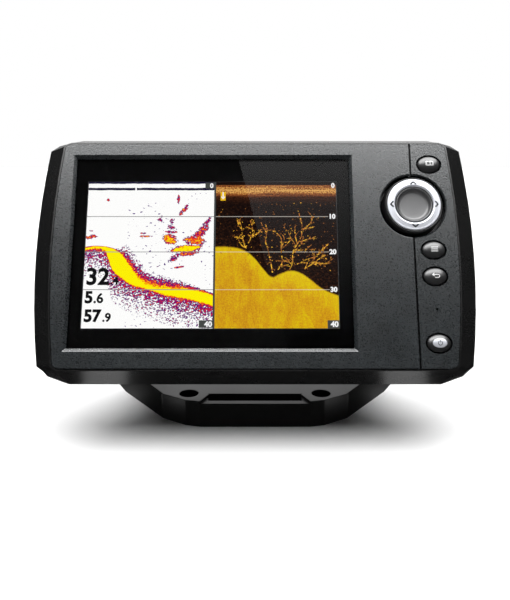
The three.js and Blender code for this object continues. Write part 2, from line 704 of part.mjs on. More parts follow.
function bracket() {
  const { deck, halfDepth, armHalfDepth, web, skirt, armEndR } = BRACKET;
  // Seen from the front: a flat base whose ends flare out and turn up into the arms.
  const right = [
    [44, 0],
    [61, 13.4],
    [65, 18.6],
    [ARM.outer, 25],
    [ARM.outer, ARM.top],
    [ARM.inner, ARM.top],
    [ARM.inner, 30],
    [58.6, 24.6],
    [43.5, deck],
  ];
  const channel = slab(polygon(mirrored(right)), -halfDepth, halfDepth);
  const plan = (by) => bothEnds([
    [25.2, -halfDepth + by],
    [32 - by / 2, -28.3 + by],
    [38.4 - by / 2, -24 + by],
    [44, -armHalfDepth + by],
    [80, -armHalfDepth + by],
  ]);
  const side = new THREE.Shape();
  const [rearTangent, frontTangent] = [14.9, 183.1].map(THREE.MathUtils.degToRad);
  side.moveTo(-halfDepth - 1, -1);
  side.lineTo(halfDepth + 1, -1);
  side.lineTo(halfDepth + 1, 14);
  side.lineTo(armHalfDepth, 14);
  side.absarc(PIVOT.y, PIVOT.z, armEndR, rearTangent, frontTangent);
  side.lineTo(-armHalfDepth, 14);
  side.lineTo(-halfDepth - 1, 14);
  const body = common(channel, planSlab(plan(0), -1, 100), sideSlab(side, -80, 80));

  const holes = [[1, 1], [-1, 1], [1, -1], [-1, -1]].map(([sideX, sideY]) => [
    sideX * DECK_HOLE.x,
    sideY * DECK_HOLE.y,
  ]);
  const upright = (x, y, r, from, to) => {
    const bar = new THREE.CylinderGeometry(r, r, to - from, 24).rotateX(Math.PI / 2);
    return solid(bar.translate(x, y, (from + to) / 2));
  };
  const underside = cut(
    common(planSlab(plan(skirt), -1, deck - web), box(-40, 40, -40, 40, -2, 40)),
    box(-50, 50, -1.5, 1.5, -2, 20),
    box(-1.5, 1.5, -40, 40, -2, 20),
    ...holes.map(([x, y]) => upright(x, y, DECK_HOLE.bossR, -2, 20)),
  );
  const armRecess = (mirror) => {
    const profile = [
      [45.9, -2],
      [80, -2],
      [80, ARM.pocketTop],
      [ARM.outer - 2.6, ARM.pocketTop],
      [ARM.outer - 2.6, 30.5],
      [60.9, 21.5],
      [45.9, 9.6],
    ].map(([x, z]) => [mirror * x, z]);
    const sideOutline = polygon([[-17.2, -3], [17, -3], [17, 14], [6.4, 55], [-18.8, 55]]);
    return cut(
      common(slab(polygon(profile), -20, 20), sideSlab(sideOutline, -90, 90)),
      box(-90, 90, -30, 30, 34, 36.4),
    );
  };
  const lipPlan = [
    [CABLE_SLOT.padEdge, -halfDepth - 1],
    [21.4, CABLE_SLOT.back],
    [-21.4, CABLE_SLOT.back],
    [-CABLE_SLOT.padEdge, -halfDepth - 1],
  ];
  return cut(
    body,
    underside,
    armRecess(1),
    armRecess(-1),
    axle(PIVOT.y, PIVOT.z, FRICTION_WASHER.bore, -90, 90, 32),
    planSlab(lipPlan, CABLE_SLOT.lip, 20),
    box(-CABLE_SLOT.halfWidth, CABLE_SLOT.halfWidth, CABLE_SLOT.front, CABLE_SLOT.back, -1, 20),
    ...holes.map(([x, y]) => upright(x, y, DECK_HOLE.bore, -1, 20)),
    ...holes.map(([x, y]) => upright(x, y, DECK_HOLE.counterbore, DECK_HOLE.seat, 20)),
  );
}

// ---------------------------------------------------------------- assembly

const chartplotter = new THREE.Group();
place(chartplotter, "bracket", bracket(), MATERIAL.black);

const leaned = new THREE.Group();
leaned.position.set(0, PIVOT.y, PIVOT.z);
leaned.rotation.x = -LEAN;
chartplotter.add(leaned);

const display = new THREE.Group();
display.position.y = -PIVOT_DEPTH;
leaned.add(display);

const plate = fasciaPlate();
place(display, "front_bezel", frontBezel(), MATERIAL.black);
place(display, "screen_fascia", screenFascia(plate), MATERIAL.fascia);
place(display, "keypad_fascia", keypadFascia(plate), MATERIAL.fascia);
addScreenStack(display);
addKeys(display);
addNavigator(display);
addKeypadParts(display);
addElectronics(display);
place(display, "rear_case", rearCase(), MATERIAL.black);
addCaseFixings(display);
addSockets(display);
addCardDoor(display);
addPivot(display);

export default chartplotter;
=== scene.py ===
"""A five-inch chartplotter display on its bracket: looks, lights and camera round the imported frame.

Everything is in metres in the frame's own axes. Pieces of the display are drawn in the face's
frame, in millimetres: x to the right, y the depth behind the front face, z up the face.
"""

import json
import math
import random

import bmesh
import bpy
from mathutils import Matrix, Vector

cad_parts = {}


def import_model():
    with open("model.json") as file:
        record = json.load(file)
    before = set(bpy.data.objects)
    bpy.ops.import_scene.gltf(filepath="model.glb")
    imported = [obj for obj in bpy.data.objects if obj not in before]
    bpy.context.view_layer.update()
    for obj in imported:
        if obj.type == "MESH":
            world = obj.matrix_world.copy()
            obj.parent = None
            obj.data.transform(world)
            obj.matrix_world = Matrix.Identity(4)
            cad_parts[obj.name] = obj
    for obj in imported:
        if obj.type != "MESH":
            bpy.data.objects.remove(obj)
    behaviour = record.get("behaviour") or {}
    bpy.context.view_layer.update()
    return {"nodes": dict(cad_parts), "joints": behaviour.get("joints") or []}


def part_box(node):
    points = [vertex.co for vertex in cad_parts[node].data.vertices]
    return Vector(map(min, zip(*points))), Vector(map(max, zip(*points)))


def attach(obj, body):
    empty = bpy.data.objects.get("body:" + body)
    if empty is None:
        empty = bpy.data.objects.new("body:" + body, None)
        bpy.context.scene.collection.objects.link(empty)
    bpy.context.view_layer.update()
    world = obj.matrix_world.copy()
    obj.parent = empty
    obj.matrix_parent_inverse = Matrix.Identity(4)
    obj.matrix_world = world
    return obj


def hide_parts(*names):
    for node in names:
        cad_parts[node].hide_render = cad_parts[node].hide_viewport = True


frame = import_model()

MM = 0.001
NODES = frame["nodes"]
JOINTS = {joint["name"]: joint for joint in frame["joints"]}

# -------- the face's frame

PIVOT = Vector(JOINTS["display_tilt"]["pos_m"])
PIVOT_DEPTH = 28 * MM
DEPTH_AXIS = Vector(JOINTS["view_press"]["axis"]).normalized()
RIGHT_AXIS = Vector((1, 0, 0))
UP_AXIS = RIGHT_AXIS.cross(DEPTH_AXIS)
FACE = Matrix((RIGHT_AXIS, DEPTH_AXIS, UP_AXIS)).transposed().to_4x4()
FACE.translation = PIVOT - PIVOT_DEPTH * DEPTH_AXIS


def face_box(node):
    """Lowest and highest corner of a CAD node in the face's frame, in millimetres."""
    inverse = FACE.inverted()
    points = [(inverse @ v.co) / MM for v in NODES[node].data.vertices]
    return [Vector(pick(p[i] for p in points) for i in range(3)) for pick in (min, max)]


def face_middle(node):
    low, high = face_box(node)
    return (low + high) / 2


# -------- shader graphs


class Value:
    """A number in a shader graph, with Python's operators as Math nodes."""

    def __init__(self, graph, socket):
        self.graph = graph
        self.socket = socket

    def math(self, operation, *others, clamp=False):
        made = self.graph.node("ShaderNodeMath", operation=operation, use_clamp=clamp)
        for slot, value in zip(made.inputs, (self, *others)):
            self.graph.feed(slot, value)
        return Value(self.graph, made.outputs[0])

    def __add__(self, other):
        return self.math("ADD", other)

    def __sub__(self, other):
        return self.math("SUBTRACT", other)

    def __rsub__(self, other):
        return (self * -1) + other

    def __mul__(self, other):
        return self.math("MULTIPLY", other)

    def __truediv__(self, other):
        return self.math("DIVIDE", other)

    def __gt__(self, other):
        return self.math("GREATER_THAN", other)

    def __lt__(self, other):
        return self.math("LESS_THAN", other)

    def least(self, other):
        return self.math("MINIMUM", other)

    def most(self, other):
        return self.math("MAXIMUM", other)

    def clamped(self):
        return self.math("ADD", 0.0, clamp=True)

    def between(self, low, high):
        return (self > low) * (self < high)

    def ramp(self, stops):
        """Colours along 0 to 1: stops are (place, (r, g, b))."""
        made = self.graph.node("ShaderNodeValToRGB")
        points = made.color_ramp.elements
        while len(points) < len(stops):
            points.new(1.0)
        for point, (place, colour) in zip(points, stops):
            point.position = place
            point.color = (*colour, 1.0)
        self.graph.feed(made.inputs[0], self)
        return made.outputs[0]

    def curve(self, points):
        """A smooth curve through (x, y) points, both 0 to 1."""
        made = self.graph.node("ShaderNodeFloatCurve")
        line = made.mapping.curves[0]
        while len(line.points) < len(points):
            line.points.new(0.5, 0.5)
        for point, place in zip(line.points, points):
            point.location = place
        made.mapping.update()
        self.graph.feed(made.inputs["Value"], self)
        return Value(self.graph, made.outputs[0])


class Graph:
    """A material's or world's node tree with short ways to add and join nodes."""

    def __init__(self, name, kind="Material"):
        kept = bpy.data.materials if kind == "Material" else bpy.data.worlds
        self.owner = kept.new(name)
        self.owner.use_nodes = True
        self.tree = self.owner.node_tree
        self.tree.nodes.clear()
        self.output = self.node(f"ShaderNodeOutput{kind}")

    def node(self, kind, **settings):
        made = self.tree.nodes.new(kind)
        for key, value in settings.items():
            setattr(made, key, value)
        return made

    def feed(self, slot, value):
        """Joins a socket, or sets a number or an (r, g, b) colour."""
        if isinstance(value, Value):
            value = value.socket
        if isinstance(value, tuple):
            value = (*value, 1.0)
        if isinstance(value, bpy.types.NodeSocket):
            self.tree.links.new(value, slot)
        else:
            slot.default_value = value

    def feed_all(self, made, **inputs):
        for name, value in inputs.items():
            self.feed(made.inputs[name.replace("_", " ")], value)

    def coordinates(self, scale=(1, 1, 1)):
        coords = self.node("ShaderNodeTexCoord").outputs["Object"]
        mapping = self.node("ShaderNodeMapping")
        mapping.inputs["Scale"].default_value = scale
        self.feed(mapping.inputs["Vector"], coords)
        return mapping.outputs[0]

    def axes(self, vector):
        split = self.node("ShaderNodeSeparateXYZ")
        self.feed(split.inputs[0], vector)
        return [Value(self, out) for out in split.outputs]

    def noise(self, vector, size, detail=2.0, roughness=0.5, distortion=0.0):
        """Noise whose features are about size metres across."""
        made = self.node("ShaderNodeTexNoise")
        self.feed_all(made, Vector=vector, Scale=1 / size, Detail=detail, Roughness=roughness,
                      Distortion=distortion)
        return Value(self, made.outputs[0])

    def blend(self, share, first, second):
        made = self.node("ShaderNodeMix", data_type="RGBA")
        self.feed(made.inputs[0], share)
        self.feed(made.inputs[6], first)
        self.feed(made.inputs[7], second)
        return made.outputs[2]

    def bump(self, height, distance, strength=1.0):
        made = self.node("ShaderNodeBump")
        self.feed_all(made, Strength=strength, Distance=distance, Height=height)
        return made.outputs[0]

    def surface(self, normal=None, **inputs):
        shader = self.node("ShaderNodeBsdfPrincipled")
        self.feed_all(shader, **inputs)
        if normal is not None:
            self.feed(shader.inputs["Normal"], normal)
        self.feed(self.output.inputs[0], shader.outputs[0])
        return self.owner


def tones(colour, spread):
    """A colour a little darker and a little lighter."""
    return tuple(c * (1 - spread) for c in colour), tuple(c * (1 + spread) for c in colour)


BLOTCH = 9 * MM
SMUDGE = 26 * MM


def moulded(name, colour, roughness, grain, depth, spread, swing, glint=0.05, **more):
    """Moulded plastic or rubber: spark-eroded grain, mottled colour and uneven gloss.

    grain and depth are in mm. spread is the colour's, swing the broad one of the gloss and glint
    the one that follows the grain.
    """
    g = Graph(name)
    place = g.coordinates()
    fine = g.noise(place, grain * MM, 3.0, 0.6)
    broad = g.noise(place, BLOTCH, 3.0, 0.55)
    smudge = g.noise(place, SMUDGE, 2.0, 0.5, 0.6)
    dark, light = tones(colour, spread)
    tint = (fine * 0.6 + broad * 0.4).ramp([(0.3, dark), (0.7, light)])
    gloss = (smudge - 0.5) * swing + (fine - 0.5) * glint + roughness
    normal = g.bump(fine, depth * MM)
    return g.surface(normal, Base_Color=tint, Roughness=gloss, **more)


def metal(name, colour, roughness, grain):
    """Metal with fine tool marks drawn out along the smallest of the grain's numbers."""
    g = Graph(name)
    marks = g.noise(g.coordinates(scale=grain), 0.35 * MM, 4.0, 0.65)
    broad = g.noise(g.coordinates(), 6 * MM, 2.0)
    dark, light = tones(colour, 0.1)
    tint = (marks * 0.5 + broad * 0.5).ramp([(0.3, dark), (0.7, light)])
    gloss = (broad - 0.5) * 0.12 + (marks - 0.5) * 0.1 + roughness
    return g.surface(g.bump(marks, 0.006 * MM), Base_Color=tint, Metallic=1.0, Roughness=gloss)


def circuit_board():
    """Green solder mask over faint copper tracks."""
    g = Graph("circuit_board")
    place = g.coordinates()
    tracks = g.noise(g.coordinates(scale=(1, 1, 0.12)), 0.9 * MM, 1.0)
    cross = g.noise(g.coordinates(scale=(0.12, 1, 1)), 1.1 * MM, 1.0)
    lines = ((tracks > 0.56) + (cross > 0.57)).clamped()
    dark, light = (0.004, 0.05, 0.016), (0.008, 0.075, 0.026)
    mask = g.noise(place, 5 * MM, 2.0).ramp([(0.3, dark), (0.7, light)])
    tint = g.blend(lines, mask, (0.015, 0.12, 0.04))
    return g.surface(g.bump(lines, 0.02 * MM), Base_Color=tint, Roughness=lines * -0.1 + 0.4)


def cover_glass():
    """Clear flat glass with the faintest unevenness of its coating."""
    g = Graph("cover_glass")
    film = g.noise(g.coordinates(), 30 * MM, 2.0)
    return g.surface(
        g.bump(film, 0.002 * MM, 0.1),
        Base_Color=(1.0, 1.0, 1.0),
        Roughness=film * 0.004,
        Transmission_Weight=1.0,
        IOR=1.45,
    )


def printed(name, colour, shine=0.5):
    """Flat ink with the slight unevenness of a print."""
    g = Graph(name)
    ink = g.noise(g.coordinates(), 0.5 * MM, 3.0)
    dark, light = tones(colour, 0.06)
    tint = ink.ramp([(0.35, dark), (0.65, light)])
    return g.surface(
        g.bump(ink, 0.004 * MM),
        Base_Color=tint,
        Roughness=ink * 0.1 + 0.35,
        Specular_IOR_Level=shine,
    )


def lit(g, colour, strength=1.0):
    """A surface that only gives light."""
    return g.surface(
        Base_Color=(0.0, 0.0, 0.0),
        Roughness=1.0,
        Specular_IOR_Level=0.0,
        Emission_Color=colour,
        Emission_Strength=strength,
    )


def glowing(name, colour, spread=0.0, grain=0.5):
    """A lit part of the picture."""
    g = Graph(name)
    cells = g.noise(g.coordinates(), grain * MM, 2.0)
    dark, light = tones(colour, spread)
    tint = cells.ramp([(0.35, dark), (0.65, light)])
    return lit(g, tint)


# -------- the picture on the screen

PANE_SPLIT = 0.513
# Heights up the left pane, 0 to 1, across it: top and under edge of the seabed's echo, the depth of
# the weak echo inside its top edge and the reach of the speckle over it.
SEABED_TOP = [(0, 0.545), (0.08, 0.552), (0.2, 0.54), (0.28, 0.51), (0.35, 0.445), (0.42, 0.375),
              (0.5, 0.335), (0.65, 0.305), (0.82, 0.275), (1, 0.225)]
SEABED_UNDER = [(0, 0.51), (0.155, 0.505), (0.175, 0.47), (0.22, 0.375), (0.3, 0.315), (0.36, 0.28),
                (0.5, 0.245), (0.65, 0.205), (0.82, 0.178), (1, 0.136)]
SEABED_SOFT = [(0, 0.01), (0.26, 0.012), (0.34, 0.03), (0.5, 0.045), (0.65, 0.04), (0.8, 0.02),
               (1, 0.012)]
SPECKLE_OVER = [(0, 0.0), (0.24, 0.006), (0.33, 0.095), (0.5, 0.06), (0.6, 0.04), (0.75, 0.03),
                (0.9, 0.012), (1, 0.004)]
# Echoes on the left pane: across, down, half width, half height, slope, strength
ECHOES = [
    (0.16, 0.128, 0.014, 0.01, 0.0, 0.72), (0.04, 0.345, 0.032, 0.005, 0.0, 0.45),
    (0.04, 0.386, 0.045, 0.013, -0.15, 0.7), (0.44, 0.361, 0.025, 0.005, 0.0, 0.5),
    (0.46, 0.382, 0.05, 0.007, 0.0, 0.6), (0.573, 0.27, 0.028, 0.018, 0.3, 0.5),
    (0.58, 0.25, 0.014, 0.02, 0.0, 0.42), (0.66, 0.322, 0.032, 0.016, 0.0, 0.56),
    (0.665, 0.353, 0.05, 0.011, 0.0, 0.52), (0.652, 0.402, 0.055, 0.036, 0.2, 0.76),
    (0.71, 0.12, 0.012, 0.034, 0.0, 0.5), (0.755, 0.2, 0.04, 0.022, -0.95, 0.56),
    (0.665, 0.28, 0.02, 0.03, 0.0, 0.42), (0.925, 0.3, 0.05, 0.026, -0.95, 0.46),
    (0.885, 0.362, 0.07, 0.034, -0.6, 0.62), (0.845, 0.41, 0.085, 0.034, 0.0, 0.72),
    (0.78, 0.468, 0.125, 0.024, -0.1, 0.9), (0.79, 0.5, 0.1, 0.018, -0.1, 0.62),
    (0.69, 0.53, 0.045, 0.024, -0.45, 0.5), (0.725, 0.594, 0.05, 0.008, -0.12, 0.62),
    (0.575, 0.583, 0.02, 0.006, -0.5, 0.42),
]
# Colours of the left pane along an echo's strength.
ECHO_COLOURS = [
    (0.0, (0.97, 0.97, 0.96)), (0.3, (0.97, 0.97, 0.96)), (0.32, (0.05, 0.02, 0.16)),
    (0.42, (0.08, 0.008, 0.2)), (0.5, (0.25, 0.005, 0.12)), (0.6, (0.6, 0.006, 0.03)),
    (0.7, (0.85, 0.06, 0.01)), (0.78, (0.95, 0.35, 0.0)), (0.85, (0.95, 0.8, 0.0)),
    (1.0, (0.96, 0.86, 0.0)),
]
# Colours of the right pane's seabed, water and surface clutter.
SEABED_COLOURS = [
    (0.0, (0.72, 0.54, 0.004)), (0.2, (0.68, 0.44, 0.006)), (0.42, (0.63, 0.32, 0.008)),
    (0.75, (0.5, 0.2, 0.008)), (1.0, (0.2, 0.05, 0.006)),
]
WATER_COLOURS = [
    (0.0, (0.004, 0.001, 0.001)), (0.35, (0.012, 0.004, 0.002)), (0.7, (0.06, 0.018, 0.006)),
    (1.0, (0.2, 0.06, 0.01)),
]
CLUTTER_COLOURS = [
    (0.0, (0.012, 0.004, 0.002)), (0.45, (0.17, 0.045, 0.012)), (0.8, (0.4, 0.14, 0.03)),
    (1.0, (0.7, 0.38, 0.1)),
]
# Height of the right pane's seabed across it.
IMAGE_BED = [(0, 0.548), (0.12, 0.548), (0.24, 0.525), (0.32, 0.475), (0.4, 0.395), (0.465, 0.345),
             (0.53, 0.365), (0.62, 0.387), (0.7, 0.37), (0.78, 0.325), (0.86, 0.272), (1, 0.22)]
# How far down both panes the depth lines lie, and half their thickness on each pane.
GRID_LINES = [0.245, 0.49, 0.745]
LEFT_GRID = 0.0025
RIGHT_GRID = 0.0022
# How far down the line under the surface starts and ends, the gap in it across and the top line.
SURFACE_LINE = (0.042, 0.059)
SURFACE_GAP = (0.368, 0.38)
TOP_LINE = 0.013
# Strengths: the seabed's weak edge, the most that its band reaches, the speckle over it, and the
# echo that fades out under it within a reach.
EDGE_STRENGTH = 0.46
BAND_STRENGTH = 0.99
SPECKLE_STRENGTH = 0.52
FADING_STRENGTH = 0.49
FADING_REACH = 0.19


def echo_level(across, down, grain, coarse):
    """Strength of the left pane's echoes, 0 to 1: the seabed band and the fish and weed over it."""
    height = 1 - down
    above = across.curve(SEABED_TOP) - height
    under = height - across.curve(SEABED_UNDER)
    soft = across.curve(SEABED_SOFT)
    band = (above / soft * 0.36 + EDGE_STRENGTH).least(under * 24 + 0.5).least(BAND_STRENGTH)
    band = band * (above > 0.0) * (under > 0.0)
    over = (above / across.curve(SPECKLE_OVER).most(0.0005) + 1).clamped() * (above < 0.0)
    over = over * SPECKLE_STRENGTH
    below = (under / FADING_REACH + 1).clamped() * (under < 0.0)
    below = below.math("POWER", 0.8) * FADING_STRENGTH
    level = band.most(over).most(below)
    ragged = (coarse - 0.5) * 2.2
    for x, y, wide, high, slope, strength in ECHOES:
        along = (across - x) / wide
        drop = (down - y - (across - x) * slope) / high
        blob = (1.35 - (along * along + drop * drop) + ragged).clamped() * strength
        level = level.most(blob)
    rough = (grain - 0.5) * 1.7 * (level > 0.02) * (1.2 - level.clamped())
    return (level + rough).clamped()


def sonar_pane(g, across, down, place):
    """White pane with a speckled seabed, fish, weed and the surface clutter lines."""
    grain = g.noise(g.coordinates(scale=(1, 1, 1.3)), 0.72 * MM, 1.0, 0.6)
    coarse = g.noise(g.coordinates(scale=(0.8, 1, 1.4)), 1.3 * MM, 2.0, 0.6)
    level = echo_level(across, down, grain, coarse)
    stray = g.noise(g.coordinates(scale=(0.7, 1, 1.3)), 1.1 * MM, 0.0)
    zone = g.noise(place, 16 * MM, 1.0)
    strays = (stray > 0.74) * (zone > 0.49) * (across > 0.32) * (down > 0.06) * 0.4
    colour = level.most(strays).ramp(ECHO_COLOURS)
    wave = (g.noise(place, 2.2 * MM, 2.0) - 0.5) * 0.012
    line = (down + wave * 0.6).between(*SURFACE_LINE) * (1 - across.between(*SURFACE_GAP))
    top = (down + wave) < TOP_LINE
    colour = g.blend(line.most(top), colour, (0.006, 0.003, 0.03))
    for height in GRID_LINES:
        colour = g.blend((down - height).between(-LEFT_GRID, LEFT_GRID), colour, (0.27, 0.27, 0.27))
    return colour


def image_pane(g, across, down):
    """Dark pane with an amber seabed and surface clutter."""
    height = 1 - down
    depth = across.curve(IMAGE_BED) - height
    dust = g.noise(g.coordinates(scale=(1, 1, 0.8)), 0.55 * MM, 2.0, 0.7)
    veins = g.noise(g.coordinates(scale=(1.6, 1, 0.5)), 7 * MM, 4.0, 0.65, 1.2)
    shade = (depth * 2.6).least(0.33) + (dust - 0.5) * 1.2 + (veins - 0.5) * 1.1 + 0.06
    bed = shade.clamped().ramp(SEABED_COLOURS)
    fleck = g.noise(g.coordinates(scale=(0.7, 1, 1.2)), 0.8 * MM, 2.0, 0.8)
    water = (fleck - 0.42) * 2.2 - depth.math("ABSOLUTE") * 0.5 + 0.1
    water = water.clamped().ramp(WATER_COLOURS)
    ripple = g.noise(g.coordinates(scale=(0.06, 1, 1.4)), 0.9 * MM, 2.0)
    core = (1 - ((down - 0.062) / 0.045).math("ABSOLUTE")).clamped()
    trail = (1 - (down - 0.04) / 0.13).clamped() * 0.5
    clutter = ((core + trail) * (ripple * 1.1 + (dust - 0.5) * 2.4 + 0.2)).clamped() * (down > 0.022)
    water = g.blend((clutter * 3).clamped(), water, clutter.ramp(CLUTTER_COLOURS))
    edge = (depth / 0.012).clamped()
    bed = g.blend(edge, (0.1, 0.03, 0.003), bed)
    colour = g.blend(depth > (dust - 0.5) * 0.03, water, bed)
    for height in GRID_LINES:
        line = (down - height).between(-RIGHT_GRID, RIGHT_GRID) * (across < 0.93)
        colour = g.blend(line * 0.55, colour, (0.75, 0.7, 0.62))
    return colour


def picture():
    """The lit picture: two panes with a dark line between them."""
    g = Graph("screen_picture")
    across, _, up = g.axes(g.node("ShaderNodeTexCoord").outputs["Generated"])
    down = 1 - up
    place = g.coordinates()
    left = sonar_pane(g, across / PANE_SPLIT, down, place)
    right = image_pane(g, (across - PANE_SPLIT) / (1 - PANE_SPLIT), down)
    colour = g.blend(across > PANE_SPLIT, left, right)
    divider = (across - PANE_SPLIT).between(-0.0045, 0.003)
    colour = g.blend(divider, colour, (0.05, 0.055, 0.055))
    return lit(g, colour, 1.08)


# -------- materials of the pieces

FASCIA_GRAIN = moulded("fascia_grain", (0.0095, 0.0118, 0.0132), 0.29, 0.55, 0.05, 0.6, 0.05, 0.3)
BLACK_SATIN = moulded("black_satin", (0.0035, 0.0035, 0.0036), 0.27, 0.35, 0.005, 0.2, 0.1)
BLACK_BRACKET = moulded("black_bracket", (0.004, 0.004, 0.0041), 0.36, 0.45, 0.012, 0.2, 0.1)
KEY_SATIN = moulded("key_satin", (0.012, 0.012, 0.0125), 0.35, 0.3, 0.005, 0.15, 0.06)
ROCKER_BLACK = moulded("rocker_black", (0.004, 0.004, 0.004), 0.36, 0.3, 0.005, 0.15, 0.08)
DISH_GREY = moulded("dish_grey", (0.04, 0.04, 0.042), 0.44, 0.35, 0.01, 0.1, 0.06)
SILVER_PAINT = moulded("silver_paint", (0.36, 0.37, 0.4), 0.42, 0.25, 0.004, 0.04, 0.06, Metallic=0.3)
SOFT_RUBBER = moulded("soft_rubber", (0.012, 0.012, 0.012), 0.7, 0.6, 0.03, 0.2, 0.1)
KNOB_RUBBER = moulded("knob_rubber", (0.011, 0.011, 0.011), 0.55, 0.5, 0.03, 0.2, 0.1)
CHIP_EPOXY = moulded("chip_epoxy", (0.02, 0.02, 0.022), 0.5, 0.3, 0.01, 0.15, 0.08)
WHITE_PLASTIC = moulded("white_plastic", (0.75, 0.75, 0.72), 0.45, 0.4, 0.01, 0.05, 0.08)
FIRED_CERAMIC = moulded("fired_ceramic", (0.6, 0.54, 0.42), 0.4, 0.4, 0.02, 0.1, 0.1)
CLEAR_GUIDE = moulded(
    "clear_guide", (0.75, 0.8, 0.83), 0.1, 0.6, 0.004, 0.03, 0.04, Transmission_Weight=0.9
)
BRASS = metal("brass", (0.7, 0.5, 0.2), 0.28, (1, 0.15, 0.15))
STEEL = metal("stainless_steel", (0.6, 0.6, 0.61), 0.27, (0.15, 1, 1))
SHEET_METAL = metal("sheet_metal", (0.62, 0.63, 0.65), 0.36, (0.1, 1, 1))
BOARD = circuit_board()
GLASS = cover_glass()
PICTURE = picture()
BORDER_INK = printed("border_ink", (0.0012, 0.0012, 0.0013), 0.0)
WHITE_INK = printed("white_ink", (0.7, 0.7, 0.7))
MARK_INK = printed("mark_ink", (0.03, 0.032, 0.035), 0.05)

# -------- CAD pieces, refined

# Degrees: shading breaks at edges sharper than the first, and bevels start at either of them.
SHARP = 32
CREASED = 13


def edge_smoother(degrees):
    """A modifier group that shades smooth, except over edges sharper than an angle."""
    tree = bpy.data.node_groups.new(f"smooth_{degrees}", "GeometryNodeTree")
    tree.interface.new_socket("Geometry", in_out="INPUT", socket_type="NodeSocketGeometry")
    tree.interface.new_socket("Geometry", in_out="OUTPUT", socket_type="NodeSocketGeometry")
    start = tree.nodes.new("NodeGroupInput")
    end = tree.nodes.new("NodeGroupOutput")
    faces = tree.nodes.new("GeometryNodeSetShadeSmooth")
    edges = tree.nodes.new("GeometryNodeSetShadeSmooth")
    edges.domain = "EDGE"
    edges.inputs["Shade Smooth"].default_value = False
    angle = tree.nodes.new("GeometryNodeInputMeshEdgeAngle")
    sharp = tree.nodes.new("FunctionNodeCompare")
    sharp.operation = "GREATER_THAN"
    sharp.inputs["B"].default_value = math.radians(degrees)
    for socket, slot in ((start.outputs[0], faces.inputs["Geometry"]),
                         (faces.outputs[0], edges.inputs["Geometry"]),
                         (angle.outputs[0], sharp.inputs["A"]),
                         (sharp.outputs[0], edges.inputs["Selection"]),
                         (edges.outputs[0], end.inputs[0])):
        tree.links.new(socket, slot)
    return tree


SMOOTHER = edge_smoother(SHARP)


def smooth_by_angle(piece):
    """Round faces shade smooth and flat faces stay flat."""
    piece.modifiers.new("smooth", "NODES").node_group = SMOOTHER
    flat = piece.modifiers.new("flat_faces", "WEIGHTED_NORMAL")
    flat.mode = "FACE_AREA"
    flat.keep_sharp = True


# Nodes whose edges are all longer than twice their bevel, and those whose shallow edges get one too.
UNCLAMPED = ("bracket",)
SHALLOW_EDGED = ("front_bezel", "bracket")
WELD_REACH = 0.002 * MM
FLAT_ANGLE = math.radians(0.6)


def refine(node, material, edge):
    """Gives a CAD node rounded edges, smooth round faces and a material. edge is in mm."""
    piece = NODES[node]
    weld = piece.modifiers.new("weld", "WELD")
    weld.merge_threshold = WELD_REACH
    flat = piece.modifiers.new("flat", "DECIMATE")
    flat.decimate_type = "DISSOLVE"
    flat.angle_limit = FLAT_ANGLE
    if edge:
        bevel = piece.modifiers.new("bevel", "BEVEL")
        bevel.width = edge * MM
        bevel.segments = 2
        bevel.limit_method = "ANGLE"
        bevel.angle_limit = math.radians(CREASED if node in SHALLOW_EDGED else SHARP)
        bevel.use_clamp_overlap = node not in UNCLAMPED
    smooth_by_angle(piece)
    piece.data.materials.clear()
    piece.data.materials.append(material)


# Material, bevel in mm and nodes.
REFINED = [
    (BLACK_BRACKET, 0.38, "bracket"),
    (BLACK_BRACKET, 0.4, "rear_case"),
    (BLACK_SATIN, 0.35, "front_bezel"),
    (BLACK_SATIN, 0.2, "power_socket", "sonar_socket"),
    (FASCIA_GRAIN, 0.18, "screen_fascia", "keypad_fascia"),
    (GLASS, 0.1, "lens"),
    (SOFT_RUBBER, 0, "lens_gasket"),
    (SOFT_RUBBER, 0.3, "card_door"),
    (SOFT_RUBBER, 0.2, "vent_plug", "case_seal", "rubber_keypad"),
    (SOFT_RUBBER, 0.2, "left_friction_washer", "right_friction_washer"),
    (WHITE_PLASTIC, 0.2, "backlight"),
    (WHITE_PLASTIC, 0.1, "power_contact_block", "sonar_contact_block"),
    (SHEET_METAL, 0.1, "lcd_tray", "card_reader"),
    (SHEET_METAL, 0.15, "shield_can"),
    (CHIP_EPOXY, 0.1, "lcd_panel", "processor"),
    (CHIP_EPOXY, 0.2, "power_coil", "beeper"),
    (BOARD, 0.05, "main_board", "keypad_board"),
    (FIRED_CERAMIC, 0.15, "gps_antenna"),
    (CLEAR_GUIDE, 0.08, "light_pipe"),
    (BRASS, 0, "lcd_flex"),
    (BRASS, 0.08, "power_pins", "sonar_pins"),
    (BRASS, 0.15, "left_pivot_insert", "right_pivot_insert"),
    (STEEL, 0.08, "nav_pivot"),
    (STEEL, 0.15, "left_knob_washer", "right_knob_washer"),
    (STEEL, 0.2, "left_knob_stud", "right_knob_stud"),
    (STEEL, 0.12, *(name for name in NODES if name.startswith("case_screw"))),
]
for _material, _edge, *_nodes in REFINED:
    for _node in _nodes:
        refine(_node, _material, _edge)

# -------- new meshes in the face's frame


# Points closer than this are one point, and a radius below it is on the axis. Both in mm.
SAME_POINT = 1e-5
ON_AXIS = 1e-6


def new_object(name, data):
    piece = bpy.data.objects.new(name, data)
    bpy.context.scene.collection.objects.link(piece)
    return piece


